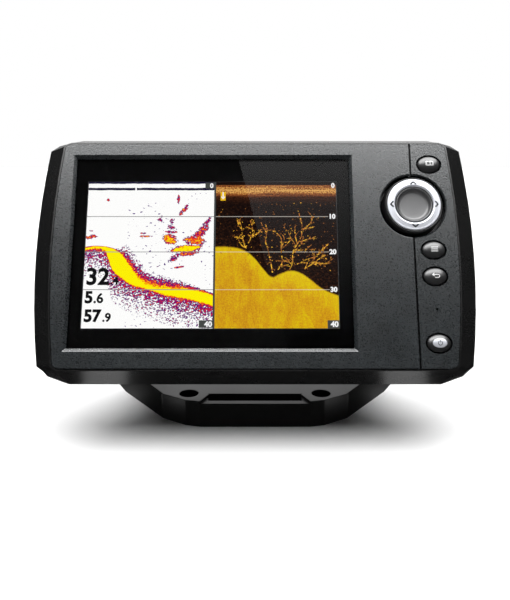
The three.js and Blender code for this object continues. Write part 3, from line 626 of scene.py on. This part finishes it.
def add_piece(name, bm, body, material, replaces=(), matrix=FACE):
    """Turns a bmesh in millimetres into a piece that rides on a body."""
    bmesh.ops.scale(bm, vec=(MM, MM, MM), verts=bm.verts)
    bmesh.ops.recalc_face_normals(bm, faces=bm.faces)
    mesh = bpy.data.meshes.new(name)
    bm.to_mesh(mesh)
    bm.free()
    piece = new_object(name, mesh)
    piece.matrix_world = matrix
    mesh.materials.append(material)
    smooth_by_angle(piece)
    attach(piece, body)
    if replaces:
        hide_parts(*replaces)


def skin(bm, rings):
    """Joins rings of points into quads. A ring of one point closes an end."""
    rows = [[bm.verts.new(p) for p in ring] for ring in rings]
    for low, high in zip(rows, rows[1:]):
        count = max(len(low), len(high))
        for i in range(count):
            ends = (low, i), (low, i + 1), (high, i + 1), (high, i)
            bm.faces.new(dict.fromkeys(row[place % len(row)] for row, place in ends))
    return rows


def rounded(points, radius, steps=4):
    """Points of an open profile with each inner corner rounded."""
    made = [points[0]]
    for before, corner, after in zip(points, points[1:], points[2:]):
        p, a, b = (Vector(q) for q in (corner, before, after))
        reach = min(radius, (a - p).length * 0.45, (b - p).length * 0.45)
        start = p + (a - p).normalized() * reach
        stop = p + (b - p).normalized() * reach
        for i in range(steps + 1):
            t = i / steps
            made.append(tuple((1 - t) ** 2 * start + 2 * t * (1 - t) * p + t * t * stop))
    return [*made, points[-1]]


def circle(steps):
    """Angles of evenly spaced points, in radians."""
    return [2 * math.pi * i / steps for i in range(steps)]


def turned(profile, middle, steps, wide=1.0, high=1.0):
    """Rings of a (radius, depth) profile turned about the depth axis, or an oval if stretched."""
    bm = bmesh.new()
    rings = []
    for r, depth in profile:
        if r < ON_AXIS:
            rings.append([(middle.x, depth, middle.z)])
            continue
        rings.append([
            (middle.x + r * wide * math.cos(a), depth, middle.z + r * high * math.sin(a))
            for a in circle(steps)
        ])
    skin(bm, rings)
    return bm


def closed_turned(profile, middle, steps):
    """The same for a profile that is a closed loop clear of the axis."""
    bm = turned([*profile, profile[0]], middle, steps)
    bmesh.ops.remove_doubles(bm, verts=bm.verts, dist=SAME_POINT)
    return bm


# -------- keys

# In mm: how far a key's hidden flange reaches past its cap and how thick it is, how proud the keys
# are, the depth of the dome's edge, and the signs' line width and height over the dome.
KEYS = ("view_key", "menu_key", "exit_key", "power_key")
FLANGE_REACH = (1.6, 1.5)
FLANGE_THICK = 0.8
KEYS_PROUD = -face_box(KEYS[0])[0].y
CAP_EDGE = 0.45
DOME_STEPS = 14
SIGN_WIDTH = 0.28
SIGN_LIFT = 0.02


def key_size(node):
    """Half width and half height of a key's cap, which is narrower than its hidden flange."""
    low, high = face_box(node)
    flange = (high - low) / 2
    return flange.x - FLANGE_REACH[0], flange.z - FLANGE_REACH[1]


def cap_depth(share):
    """Depth of the domed cap's skin at a share of the way from its middle to its edge."""
    return CAP_EDGE - (KEYS_PROUD + CAP_EDGE) * max(0.0, 1 - share ** 2.2) ** 0.55


def key_piece(node):
    low, high = face_box(node)
    wide, tall = key_size(node)
    shares = [math.sin(i / DOME_STEPS * math.pi / 2) for i in range(DOME_STEPS + 1)]
    shelf = high.y - FLANGE_THICK
    flange = (high.x - low.x) / 2 / wide
    foot = [(1.0, CAP_EDGE), (1.0, shelf), (flange, shelf), (flange, high.y), (0.0, high.y)]
    profile = [(share, cap_depth(share)) for share in shares] + rounded(foot, 0.12, 3)[1:]
    bm = turned(profile, face_middle(node), 72, wide, tall)
    add_piece(f"{node}_cap", bm, node, KEY_SATIN, [node])


def on_cap(node, x, z, lift):
    """A point on the domed cap, from its middle, in mm."""
    middle = face_middle(node)
    wide, tall = key_size(node)
    share = min(1.0, math.hypot(x / wide, z / tall))
    return (middle.x + x, cap_depth(share) - lift, middle.z + z)


def sign_on_cap(name, node, strokes):
    """Raised printed lines over a key's dome. Each stroke is a list of (x, z) points."""
    bm = bmesh.new()
    for stroke in strokes:
        closed = stroke[0] == stroke[-1]
        line = densify(stroke, 0.3)
        add_ribbon(bm, line, SIGN_WIDTH, lambda x, z, up: on_cap(node, x, z, SIGN_LIFT + up), closed)
    add_piece(name, bm, node, WHITE_INK)


def densify(points, step):
    """The same line with points no more than about a step apart."""
    line = []
    for a, b in zip(points, points[1:]):
        a, b = Vector(a), Vector(b)
        count = max(1, round((b - a).length / step))
        line += [tuple(a.lerp(b, i / count)) for i in range(count)]
    return [*line, tuple(points[-1])]


def add_ribbon(bm, line, width, place, closed=False, thick=0.05):
    """A thin closed strip along a line, laid on the surface that place gives."""
    rings = []
    count = len(line)
    for i, point in enumerate(line):
        before = line[i - 1] if i else (line[-2] if closed else point)
        after = line[i + 1] if i + 1 < count else (line[1] if closed else point)
        along = (Vector(after) - Vector(before)).normalized()
        side = Vector((-along.y, along.x)) * width / 2
        here = Vector(point)
        left, right = here + side, here - side
        rings.append([place(*left, thick), place(*right, thick), place(*right, 0), place(*left, 0)])
    rows = skin(bm, rings)
    if not closed:
        bm.faces.new(rows[0])
        bm.faces.new(rows[-1])


def arc(radius, start, stop, steps, x, z):
    """Points of an arc about (x, z), from one angle in degrees to another."""
    angles = [math.radians(start + (stop - start) * i / steps) for i in range(steps + 1)]
    return [(x + radius * math.cos(a), z + radius * math.sin(a)) for a in angles]


def key_marks():
    """Generic signs in place of words: split view, menu bars and back arrow."""
    frame_sign = [(-1.5, -0.85), (1.5, -0.85), (1.5, 0.85), (-1.5, 0.85), (-1.5, -0.85)]
    sign_on_cap("view_sign", "view_key", [frame_sign, [(0.2, -0.75), (0.2, 0.75)]])
    bars = [[(-1.4, z), (1.4, z)] for z in (-0.85, 0.0, 0.85)]
    sign_on_cap("menu_sign", "menu_key", bars)
    hook = [(-1.4, 0.45), (0.7, 0.45), *arc(0.62, 90, -90, 10, 0.8, -0.17), (-0.5, -0.79)]
    head = [(-0.75, 1.1), (-1.5, 0.45), (-0.75, -0.2)]
    sign_on_cap("exit_sign", "exit_key", [hook, head])


def power_badge():
    """A silver oval let into the power key, with the power sign on it."""
    middle = face_middle("power_badge")
    low, high = face_box("power_badge")
    wide, tall = (high.x - low.x) / 2, (high.z - low.z) / 2
    top, fall, thick = low.y, 0.3, 1.1
    profile = [(share, top + fall * share ** 3) for share in (0.0, 0.3, 0.55, 0.75, 0.9, 0.97)]
    profile += [(1.0, top + 0.4), (1.0, top + thick), (0.0, top + thick)]
    add_piece("power_badge_oval", turned(profile, middle, 64, wide, tall), "power_key", SILVER_PAINT,
              ["power_badge"])
    bm = bmesh.new()

    def place(x, z, up):
        share = math.hypot(x / wide, z / tall)
        return (middle.x + x, top + fall * share ** 3 - 0.01 - up, middle.z + z)

    line_width = 0.26
    add_ribbon(bm, arc(0.85, 125, 415, 30, 0, -0.1), line_width, place)
    add_ribbon(bm, densify([(0, 0.15), (0, 1.15)], 0.25), line_width, place)
    add_piece("power_sign", bm, "power_key", MARK_INK)


# -------- round rocker

# Radii in mm, then how far the ring's face falls outwards and how wide its rims are.
SKIRT_RADIUS = 12.8
ROCKER_FLANGE = 15.0
ROCKER_CAVITY = 11.2
ROCKER_HUB = 4.6
DISH_RADIUS = 7.9
RING_FALL = 0.26
RING_RIM = 0.9


def rocker():
    """The four-way rocker: a hollow black body with the silver ring and the dish set into it."""
    middle = face_middle("nav_ring")
    back = face_box("nav_rocker")[1].y
    ring_low, ring_high = face_box("nav_ring")
    outer = (ring_high.x - ring_low.x) / 2
    inner = DISH_RADIUS
    top = ring_low.y
    shelf = back - 0.7
    side = [(SKIRT_RADIUS, shelf), (SKIRT_RADIUS, 1.2), (SKIRT_RADIUS - 0.3, -0.2),
            (outer + 0.55, top + 0.72), (outer + 0.3, top + 0.78), (outer + 0.3, -0.7),
            (inner + 0.1, -0.7), (inner - 0.6, 0.9)]
    hollow = [(0.0, 5.4), (ROCKER_HUB, 5.4), (ROCKER_HUB, 2.6), (ROCKER_CAVITY, 2.6),
              (ROCKER_CAVITY, back), (ROCKER_FLANGE, back), (ROCKER_FLANGE, shelf)]
    body = rounded([*hollow, *side, (0.0, 0.9)], 0.3)
    add_piece("rocker_body", turned(body, middle, 128), "nav_rocker", ROCKER_BLACK,
              ["nav_rocker"])
    face = [(outer - 0.3, -1.0), (outer, -1.15), (outer, -1.55), (outer - 0.25, -1.8),
            (outer - RING_RIM, top + RING_FALL), (inner + RING_RIM, top), (inner + 0.3, top + 0.3),
            (inner + 0.15, -1.2), (inner + 0.5, -1.0)]
    add_piece("rocker_ring", closed_turned(rounded(face, 0.25)[:-1], middle, 128), "nav_rocker",
              SILVER_PAINT, ["nav_ring"])
    bowl = [(0.0, 0.85), (6.8, 0.85), (7.55, -0.9), (7.72, -1.35), (7.5, -1.55), (7.2, -1.35),
            (6.45, -0.2), (5.7, 0.1), (4.2, 0.22), (2.1, 0.3), (0.0, 0.33)]
    add_piece("rocker_dish", turned(rounded(bowl, 0.25), middle, 96), "nav_rocker", DISH_GREY,
              ["nav_dish"])
    chevrons(middle, top, inner, outer)


def chevrons(middle, top, inner, outer):
    """Four dark arrowheads printed on the ring, pointing outwards."""
    radius = (outer + inner) / 2
    arrow = ((radius - 0.75, -1.3), (radius + 0.4, 0.0), (radius - 0.75, 1.3))

    def place(x, z, up):
        share = (math.hypot(x, z) - inner - RING_RIM) / (outer - inner - 2 * RING_RIM)
        return (middle.x + x, top + RING_FALL * share - 0.012 - up, middle.z + z)

    bm = bmesh.new()
    for quarter in range(4):
        turn = Matrix.Rotation(quarter * math.pi / 2, 2)
        line = densify([tuple(turn @ Vector(p)) for p in arrow], 0.3)
        add_ribbon(bm, line, 0.72, place, thick=0.03)
    add_piece("rocker_arrows", bm, "nav_rocker", MARK_INK)


# -------- knobs

# Radii in mm, the depth of the bore's end, and the lobes round the grip.
KNOB_BORE = 3.3
KNOB_BORE_END = 3.5
KNOB_COLLAR = 9.5
KNOB_RIM = 13.2
KNOB_STEPS = 128
LOBES = 8
LOBE_DEPTH = 1.1


def knob_piece(side):
    """A lobed clamp knob turned about X, with rounded rims and a dished end."""
    node = f"{side}_knob"
    low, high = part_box(node)
    sign = -1 if side == "left" else 1
    inner, outer = (low.x, high.x) if sign > 0 else (high.x, low.x)
    along = Matrix.Translation((inner, PIVOT.y, PIVOT.z))
    turn = Matrix.Rotation(math.pi, 4, "Z") if sign < 0 else Matrix.Identity(4)
    length = abs(outer - inner) / MM
    profile = [(0, KNOB_BORE), (0, KNOB_COLLAR), (3.2, KNOB_COLLAR), (3.2, KNOB_RIM),
               (length, KNOB_RIM), (length, 8.5), (length - 1.6, 8.2), (length - 1.6, 0)]
    bore = [(KNOB_BORE * math.cos(a), KNOB_BORE * math.sin(a)) for a in circle(KNOB_STEPS)]
    rings = [[(KNOB_BORE_END, 0, 0)], [(KNOB_BORE_END, *point) for point in bore]]
    for x, r in rounded(profile, 0.9, 5):
        if r < ON_AXIS:
            rings.append([(x, 0, 0)])
            continue
        ring = []
        for angle in circle(KNOB_STEPS):
            grip = max(0.0, min(1.0, (r - 9.6) / 2.6))
            reach = r + grip * (math.cos(angle * LOBES) - 1) * LOBE_DEPTH
            ring.append((x, reach * math.cos(angle), reach * math.sin(angle)))
        rings.append(ring)
    bm = bmesh.new()
    skin(bm, rings)
    add_piece(f"{side}_knob_grip", bm, node, KNOB_RUBBER, [node], along @ turn)


# -------- screen


def outline(left, right, bottom, top):
    return [(left, bottom), (right, bottom), (right, top), (left, top)]


def flat_plate(bm, left, right, bottom, top, front, back):
    corners = [(x, y, z) for y in (front, back) for x, z in outline(left, right, bottom, top)]
    v = [bm.verts.new(c) for c in corners]
    for quad in ((0, 1, 2, 3), (7, 6, 5, 4), (0, 4, 5, 1), (1, 5, 6, 2), (2, 6, 7, 3), (3, 7, 4, 0)):
        bm.faces.new([v[i] for i in quad])


PICTURE_SIZE = (108.0, 64.8)
PICTURE_DEPTH = face_box("lcd_panel")[0].y - 0.05
PICTURE_THICK = 0.04
BORDER_GAP = 0.3
BORDER_INSET = 0.4


def screen():
    middle = face_middle("lcd_panel")
    wide, tall = (s / 2 for s in PICTURE_SIZE)
    bm = bmesh.new()
    flat_plate(bm, middle.x - wide, middle.x + wide, middle.z - tall, middle.z + tall,
               PICTURE_DEPTH, PICTURE_DEPTH + PICTURE_THICK)
    add_piece("screen_picture", bm, "display", PICTURE)
    border(middle, wide, tall)
    labels(middle, wide, tall)
    weed(middle, wide, tall)


def border(middle, wide, tall):
    """The black ink behind the glass, round the picture."""
    low, high = face_box("lens")
    bm = bmesh.new()
    front, back = high.y + 0.05, high.y + 0.1
    hole = outline(middle.x - wide - BORDER_GAP, middle.x + wide + BORDER_GAP,
                   middle.z - tall - BORDER_GAP, middle.z + tall + BORDER_GAP)
    rim = outline(low.x + BORDER_INSET, high.x - BORDER_INSET,
                  low.z + BORDER_INSET, high.z - BORDER_INSET)
    edges = (hole, front), (rim, front), (rim, back), (hole, back)
    loops = [[(x, y, z) for x, z in edge] for edge, y in edges]
    skin(bm, [*loops, loops[0]])
    bmesh.ops.remove_doubles(bm, verts=bm.verts, dist=SAME_POINT)
    add_piece("lens_border", bm, "display", BORDER_INK)


# A digit's height as a share of the font's size, and how far the numbers lie before the picture.
DIGIT_SHARE = 0.72
LABEL_LIFT = 0.06


def digits(name, text, x, z, height, material, bold, align="RIGHT"):
    """Numbers on the picture, as flat meshes just in front of it. height is a digit's, in mm."""
    curve = bpy.data.curves.new(name, "FONT")
    curve.body = text
    curve.size = height * MM / DIGIT_SHARE
    curve.align_x = align
    curve.offset = bold * MM
    curve.extrude = 0.01 * MM
    curve.resolution_u = 4
    flat = new_object(name, curve)
    place = Matrix.Translation(Vector((x, PICTURE_DEPTH - LABEL_LIFT, z)) * MM)
    flat.matrix_world = FACE @ place @ Matrix.Rotation(math.pi / 2, 4, "X")
    depsgraph = bpy.context.evaluated_depsgraph_get()
    mesh = bpy.data.meshes.new_from_object(flat.evaluated_get(depsgraph))
    piece = new_object(name, mesh)
    bpy.context.view_layer.update()
    piece.matrix_world = flat.matrix_world
    bpy.data.objects.remove(flat)
    mesh.materials.clear()
    mesh.materials.append(material)
    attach(piece, "display")
    return piece


# The readings on the left pane: whole part, decimal, share of the way down, and both heights.
READINGS = [("32", ".4", 0.71, 7.3, 3.5), ("5", ".6", 0.832, 5.0, 4.2), ("57", ".9", 0.955, 5.1, 3.6)]


def labels(middle, wide, tall):
    """Depth scale numbers and the three readings."""
    white = glowing("label_white", (0.95, 0.95, 0.95))
    black = glowing("label_black", (0.004, 0.004, 0.005))
    grey = glowing("label_grey", (0.06, 0.065, 0.06))
    left, right = middle.x - wide, middle.x + wide
    top, full = middle.z + tall, tall * 2
    bottom = top - full
    split = left + PANE_SPLIT * wide * 2
    for i, share in enumerate([0.0, *GRID_LINES]):
        drop = 2.6 if i == 0 else share * full + 0.9
        digits(f"depth_{i}", str(i * 10), right - 0.5, top - drop, 2.1, white, 0.14)
    boxes = [(split - 4.4, split - 0.4, top - 3.0, top - 0.3),
             (split - 6.2, split - 0.4, bottom + 0.2, bottom + 3.4),
             (right - 4.9, right, bottom, bottom + 3.4)]
    bm = bmesh.new()
    for box in boxes:
        label_plate(bm, *box)
    add_piece("label_boxes", bm, "display", grey)
    digits("left_depth_0", "0", split - 0.9, top - 2.7, 2.1, white, 0.12)
    digits("left_depth_1", "40", split - 0.7, bottom + 0.7, 2.3, white, 0.14)
    digits("depth_4", "40", right - 0.4, bottom + 0.7, 2.3, white, 0.14)
    for i, (whole, part, share, size, small) in enumerate(READINGS):
        base = top - share * full
        first = digits(f"reading_{i}", whole, left + 0.9, base, size, black, 0.3, "LEFT")
        end = max(v.co.x for v in first.data.vertices) / MM + 0.35
        digits(f"reading_part_{i}", part, left + 0.9 + end, base, small, black, 0.18, "LEFT")
    marker(split + 3.4, top - 6.6, white)


def label_plate(bm, left, right, bottom, top):
    """A plate between the picture and its numbers."""
    flat_plate(bm, left, right, bottom, top, PICTURE_DEPTH - 0.03, PICTURE_DEPTH - 0.005)


def marker(x, z, white):
    """An amber box with an arrow that points down the pane."""
    bm = bmesh.new()
    label_plate(bm, x - 1.1, x + 1.1, z - 2.0, z + 2.0)
    add_piece("marker_box", bm, "display", glowing("marker_amber", (0.85, 0.5, 0.01)))
    bm = bmesh.new()
    head = [(x - 0.75, z - 0.2), (x, z - 1.2), (x + 0.75, z - 0.2)]
    for line, width, lift in (([(x, z + 1.9), (x, z - 0.6)], 0.5, 0.05), (head, 0.45, 0.052)):
        add_ribbon(bm, line, width, lambda px, pz, up: (px, PICTURE_DEPTH - lift - up * 0.2, pz))
    add_piece("marker_arrow", bm, "display", white)


# Sunken trees on the right pane: root across and down, lean in radians, length and forks. The root
# and the length are shares of the pane.
TREES = [
    (0.25, 0.46, -0.25, 0.2, 4), (0.25, 0.46, 0.75, 0.1, 2), (0.31, 0.39, 0.0, 0.12, 3),
    (0.25, 0.46, -1.1, 0.1, 1), (0.3, 0.38, 1.4, 0.08, 1), (0.47, 0.63, 0.02, 0.34, 2),
    (0.51, 0.62, 0.3, 0.3, 3), (0.61, 0.61, 0.27, 0.42, 4), (0.7, 0.42, 1.3, 0.1, 2),
    (0.72, 0.34, 0.75, 0.12, 2), (0.71, 0.33, 1.45, 0.09, 1), (0.66, 0.58, 0.9, 0.24, 3),
    (0.72, 0.61, 1.15, 0.18, 3), (0.68, 0.48, 1.1, 0.2, 3), (0.8, 0.54, 1.0, 0.15, 2),
]
TREE_WIDTH = 0.46
LOOSE_FLECKS = 200


class Weed:
    """Fine lit strokes just in front of the picture, brighter ones and dimmer ones."""

    def __init__(self, seed):
        self.chance = random.Random(seed)
        self.meshes = {"bright": bmesh.new(), "dim": bmesh.new()}
        self.lowest = 0.0

    def stroke(self, start, stop, width, bright):
        kind = "bright" if self.chance.random() < bright else "dim"
        add_ribbon(self.meshes[kind], [start, stop], width,
                   lambda x, z, up: (x, PICTURE_DEPTH - 0.012 - up * 0.2, z), thick=0.02)

    def fleck(self, x, z, reach, bright):
        """A short stroke somewhere near a point."""
        x += self.chance.gauss(0, reach)
        z += self.chance.gauss(0, reach)
        heading = self.chance.uniform(-1.2, 1.2)
        size = self.chance.uniform(0.16, 0.34)
        tip = (x + math.cos(heading) * size * 1.6, z + math.sin(heading) * size * 1.6)
        self.stroke((x, z), tip, size, bright)

    def branch(self, x, z, heading, length, width, forks, bright):
        """A wandering limb with smaller ones off it. It never dips under the tree's root."""
        steps = max(3, round(length / 0.6))
        turn = 0.0
        for i in range(steps):
            turn = turn * 0.5 + self.chance.uniform(-0.15, 0.15)
            heading += turn
            tip = (x + math.sin(heading) * length / steps, z + math.cos(heading) * length / steps)
            if tip[1] < self.lowest:
                return
            fade = bright * (1 - 0.6 * i / steps)
            if self.chance.random() < 0.85:
                self.stroke((x, z), tip, width * self.chance.uniform(0.5, 1.3), fade)
            if self.chance.random() < 0.3:
                self.fleck(*tip, width * 1.3, fade)
            if forks and self.chance.random() < 1.3 * forks / steps:
                side = heading + self.chance.choice((-1, 1)) * self.chance.uniform(0.4, 1.1)
                reach = length * self.chance.uniform(0.2, 0.4)
                self.branch(*tip, side, reach, width * 0.75, forks - 2, fade)
            x, z = tip


def weed(middle, wide, tall):
    """Sunken trees and scattered echoes on the right pane."""
    made = Weed(11)
    left = middle.x - wide + PANE_SPLIT * wide * 2
    pane = (1 - PANE_SPLIT) * wide * 2
    top, full = middle.z + tall, tall * 2
    for across, down, lean, length, forks in TREES:
        start = (left + across * pane, top - down * full)
        made.lowest = start[1] - 0.5
        made.branch(*start, lean, length * full, TREE_WIDTH, forks, 1.0 if across < 0.32 else 0.6)
    for _ in range(LOOSE_FLECKS):
        across = made.chance.uniform(0.03, 0.98)
        down = made.chance.uniform(0.14, 0.62)
        if across > 0.4 or made.chance.random() < 0.4:
            made.fleck(left + across * pane, top - down * full, 0.1, 0.15)
    bright = glowing("weed_bright", (0.78, 0.42, 0.03), 0.4, 1.0)
    dim = glowing("weed_dim", (0.34, 0.12, 0.02), 0.7, 0.9)
    add_piece("screen_weed_bright", made.meshes["bright"], "display", bright)
    add_piece("screen_weed_dim", made.meshes["dim"], "display", dim)


for _key in KEYS:
    key_piece(_key)
key_marks()
power_badge()
rocker()
knob_piece("left")
knob_piece("right")
screen()

# -------- floor, lights and camera


FLOOR_REACH = 6.0


def floor():
    """A pale floor that mirrors nothing."""
    mesh = bpy.data.meshes.new("floor")
    corners = outline(-FLOOR_REACH, FLOOR_REACH, -FLOOR_REACH, FLOOR_REACH)
    mesh.from_pydata([(x, y, 0) for x, y in corners], [], [(0, 1, 2, 3)])
    piece = new_object("floor", mesh)
    g = Graph("pale_floor")
    dust = g.noise(g.coordinates(), 0.3, 3.0)
    tint = dust.ramp([(0.3, (0.915, 0.915, 0.915)), (0.7, (0.93, 0.93, 0.93))])
    pale = g.surface(Base_Color=tint, Roughness=dust * 0.05 + 0.5, Specular_IOR_Level=0.0)
    mesh.materials.append(pale)
    piece.visible_glossy = False


# The light from the world: its level in front and behind, and where along Y it turns.
WORLD_LEVELS = (0.034, 1.0)
WORLD_TURN = (0.5, 0.9)


def world():
    """White all round for the camera; as a light it is dark in front and white behind the object."""
    g = Graph("studio", "World")
    bpy.context.scene.world = g.owner
    behind = g.axes(g.node("ShaderNodeTexCoord").outputs["Generated"])[1]
    turn = g.node("ShaderNodeMapRange")
    (start, stop), (low, high) = WORLD_TURN, WORLD_LEVELS
    g.feed_all(turn, Value=behind, From_Min=start, From_Max=stop, To_Min=low, To_Max=high)
    seen = g.node("ShaderNodeLightPath").outputs["Is Camera Ray"]
    back = g.node("ShaderNodeBackground")
    g.feed_all(back, Color=(1.0, 1.0, 1.0), Strength=Value(g, turn.outputs[0]).most(seen))
    g.feed(g.output.inputs[0], back.outputs[0])


def area_light(name, place, facing, size, power):
    """A panel that is seen only in mirroring surfaces."""
    data = bpy.data.lights.new(name, "AREA")
    data.shape = "RECTANGLE"
    data.size, data.size_y = size
    data.energy = power
    lamp = new_object(name, data)
    lamp.location = place
    lamp.rotation_euler = Vector(facing).to_track_quat("-Z", "Y").to_euler()
    lamp.visible_camera = False
    lamp.visible_diffuse = False
    return lamp


OVERHEAD_ELEVATION = math.radians(84)
OVERHEAD_SPREAD = math.radians(72)
OVERHEAD_STRENGTH = 5.6


def overhead_light():
    """A wide soft light from far off, high over the front. Nothing mirrors it."""
    data = bpy.data.lights.new("overhead", "SUN")
    data.energy = OVERHEAD_STRENGTH
    data.angle = OVERHEAD_SPREAD
    lamp = new_object("overhead", data)
    source = Vector((0, -math.cos(OVERHEAD_ELEVATION), math.sin(OVERHEAD_ELEVATION)))
    lamp.rotation_euler = (-source).to_track_quat("-Z", "Y").to_euler()
    lamp.visible_camera = False
    lamp.visible_glossy = False
    lamp.visible_transmission = False


def mirrored(x, z, distance):
    """The place that the glass mirrors to the camera at (x, z) on the face, in mm."""
    point = FACE @ (Vector((x, face_box("lens")[0].y, z)) * MM)
    view = (point - (PIVOT + CAMERA_FROM_PIVOT)).normalized()
    return point + view.reflect(DEPTH_AXIS) * distance


# The part of the face that mirrors the haze card, in mm, and the card's distance and radiance.
HAZE_CORNERS = [(-8, 46), (80, 46), (80, -44), (14.5, -44)]
HAZE_DISTANCE = 0.7
HAZE_RADIANCE = 0.55


def haze_card():
    """A dim card that the right of the glass mirrors, brighter towards its top."""
    mesh = bpy.data.meshes.new("haze_card")
    corners = [mirrored(x, z, HAZE_DISTANCE) for x, z in HAZE_CORNERS]
    mesh.from_pydata(corners, [], [(0, 1, 2, 3)])
    piece = new_object("haze_card", mesh)
    g = Graph("haze_card")
    up = g.axes(g.node("ShaderNodeTexCoord").outputs["Generated"])[2]
    film = g.noise(g.coordinates(), 0.5, 1.0) * 0.06 + 0.97
    glow = g.node("ShaderNodeEmission")
    g.feed(glow.inputs["Strength"], up.math("POWER", 2.2) * film * HAZE_RADIANCE)
    g.feed(g.output.inputs[0], glow.outputs[0])
    mesh.materials.append(g.owner)
    piece.visible_camera = False
    piece.visible_diffuse = False
    piece.visible_shadow = False


# Ceiling panels: how far over the pivot, how wide, and for each one where it starts and ends along
# Y and its radiance. The glass doesn't mirror the rear one, which it faces when tilted right back.
PANEL_HEIGHT = 0.9
PANEL_WIDTH = 1.7
PANELS = {"front_panel": (-0.655, 0.14, 15.0), "rear_panel": (0.14, 0.6, 7.0)}


def ceiling_panel(name):
    front, back, radiance = PANELS[name]
    deep = back - front
    middle = PIVOT + Vector((0, (back + front) / 2, PANEL_HEIGHT))
    power = radiance * math.pi * deep * PANEL_WIDTH
    return area_light(name, middle, (0, 0, -1), (PANEL_WIDTH, deep), power)


# Two small panels on the floor shine up at the slopes under the housing. Place and size in mm.
KICKER_PLACE = (70, -42, 1.5)
KICKER_SIZE = (20, 18)
KICKER_WATTS = 0.0032


def lights():
    overhead_light()
    ceiling_panel("front_panel")
    ceiling_panel("rear_panel").visible_transmission = False
    haze_card()
    x, y, z = KICKER_PLACE
    size = [length * MM for length in KICKER_SIZE]
    for side in (-1, 1):
        place = Vector((side * x, y, z)) * MM
        area_light(f"kicker_{side}", place, (0, 0, 1), size, KICKER_WATTS)


# The camera looks along Y and down by its pitch.
CAMERA_FROM_PIVOT = Vector((0, -281.8, 51.2)) * MM
CAMERA_PITCH = math.radians(13.23)
LENS_MM = 36.68


def camera():
    data = bpy.data.cameras.new("camera")
    data.sensor_width = 36
    data.lens = LENS_MM
    data.clip_start = 0.01
    data.clip_end = 50
    piece = new_object("camera", data)
    piece.location = PIVOT + CAMERA_FROM_PIVOT
    piece.rotation_euler = (math.pi / 2 - CAMERA_PITCH, 0, 0)
    bpy.context.scene.camera = piece


floor()
world()
lights()
camera()
bpy.context.scene.view_settings.view_transform = "Standard"
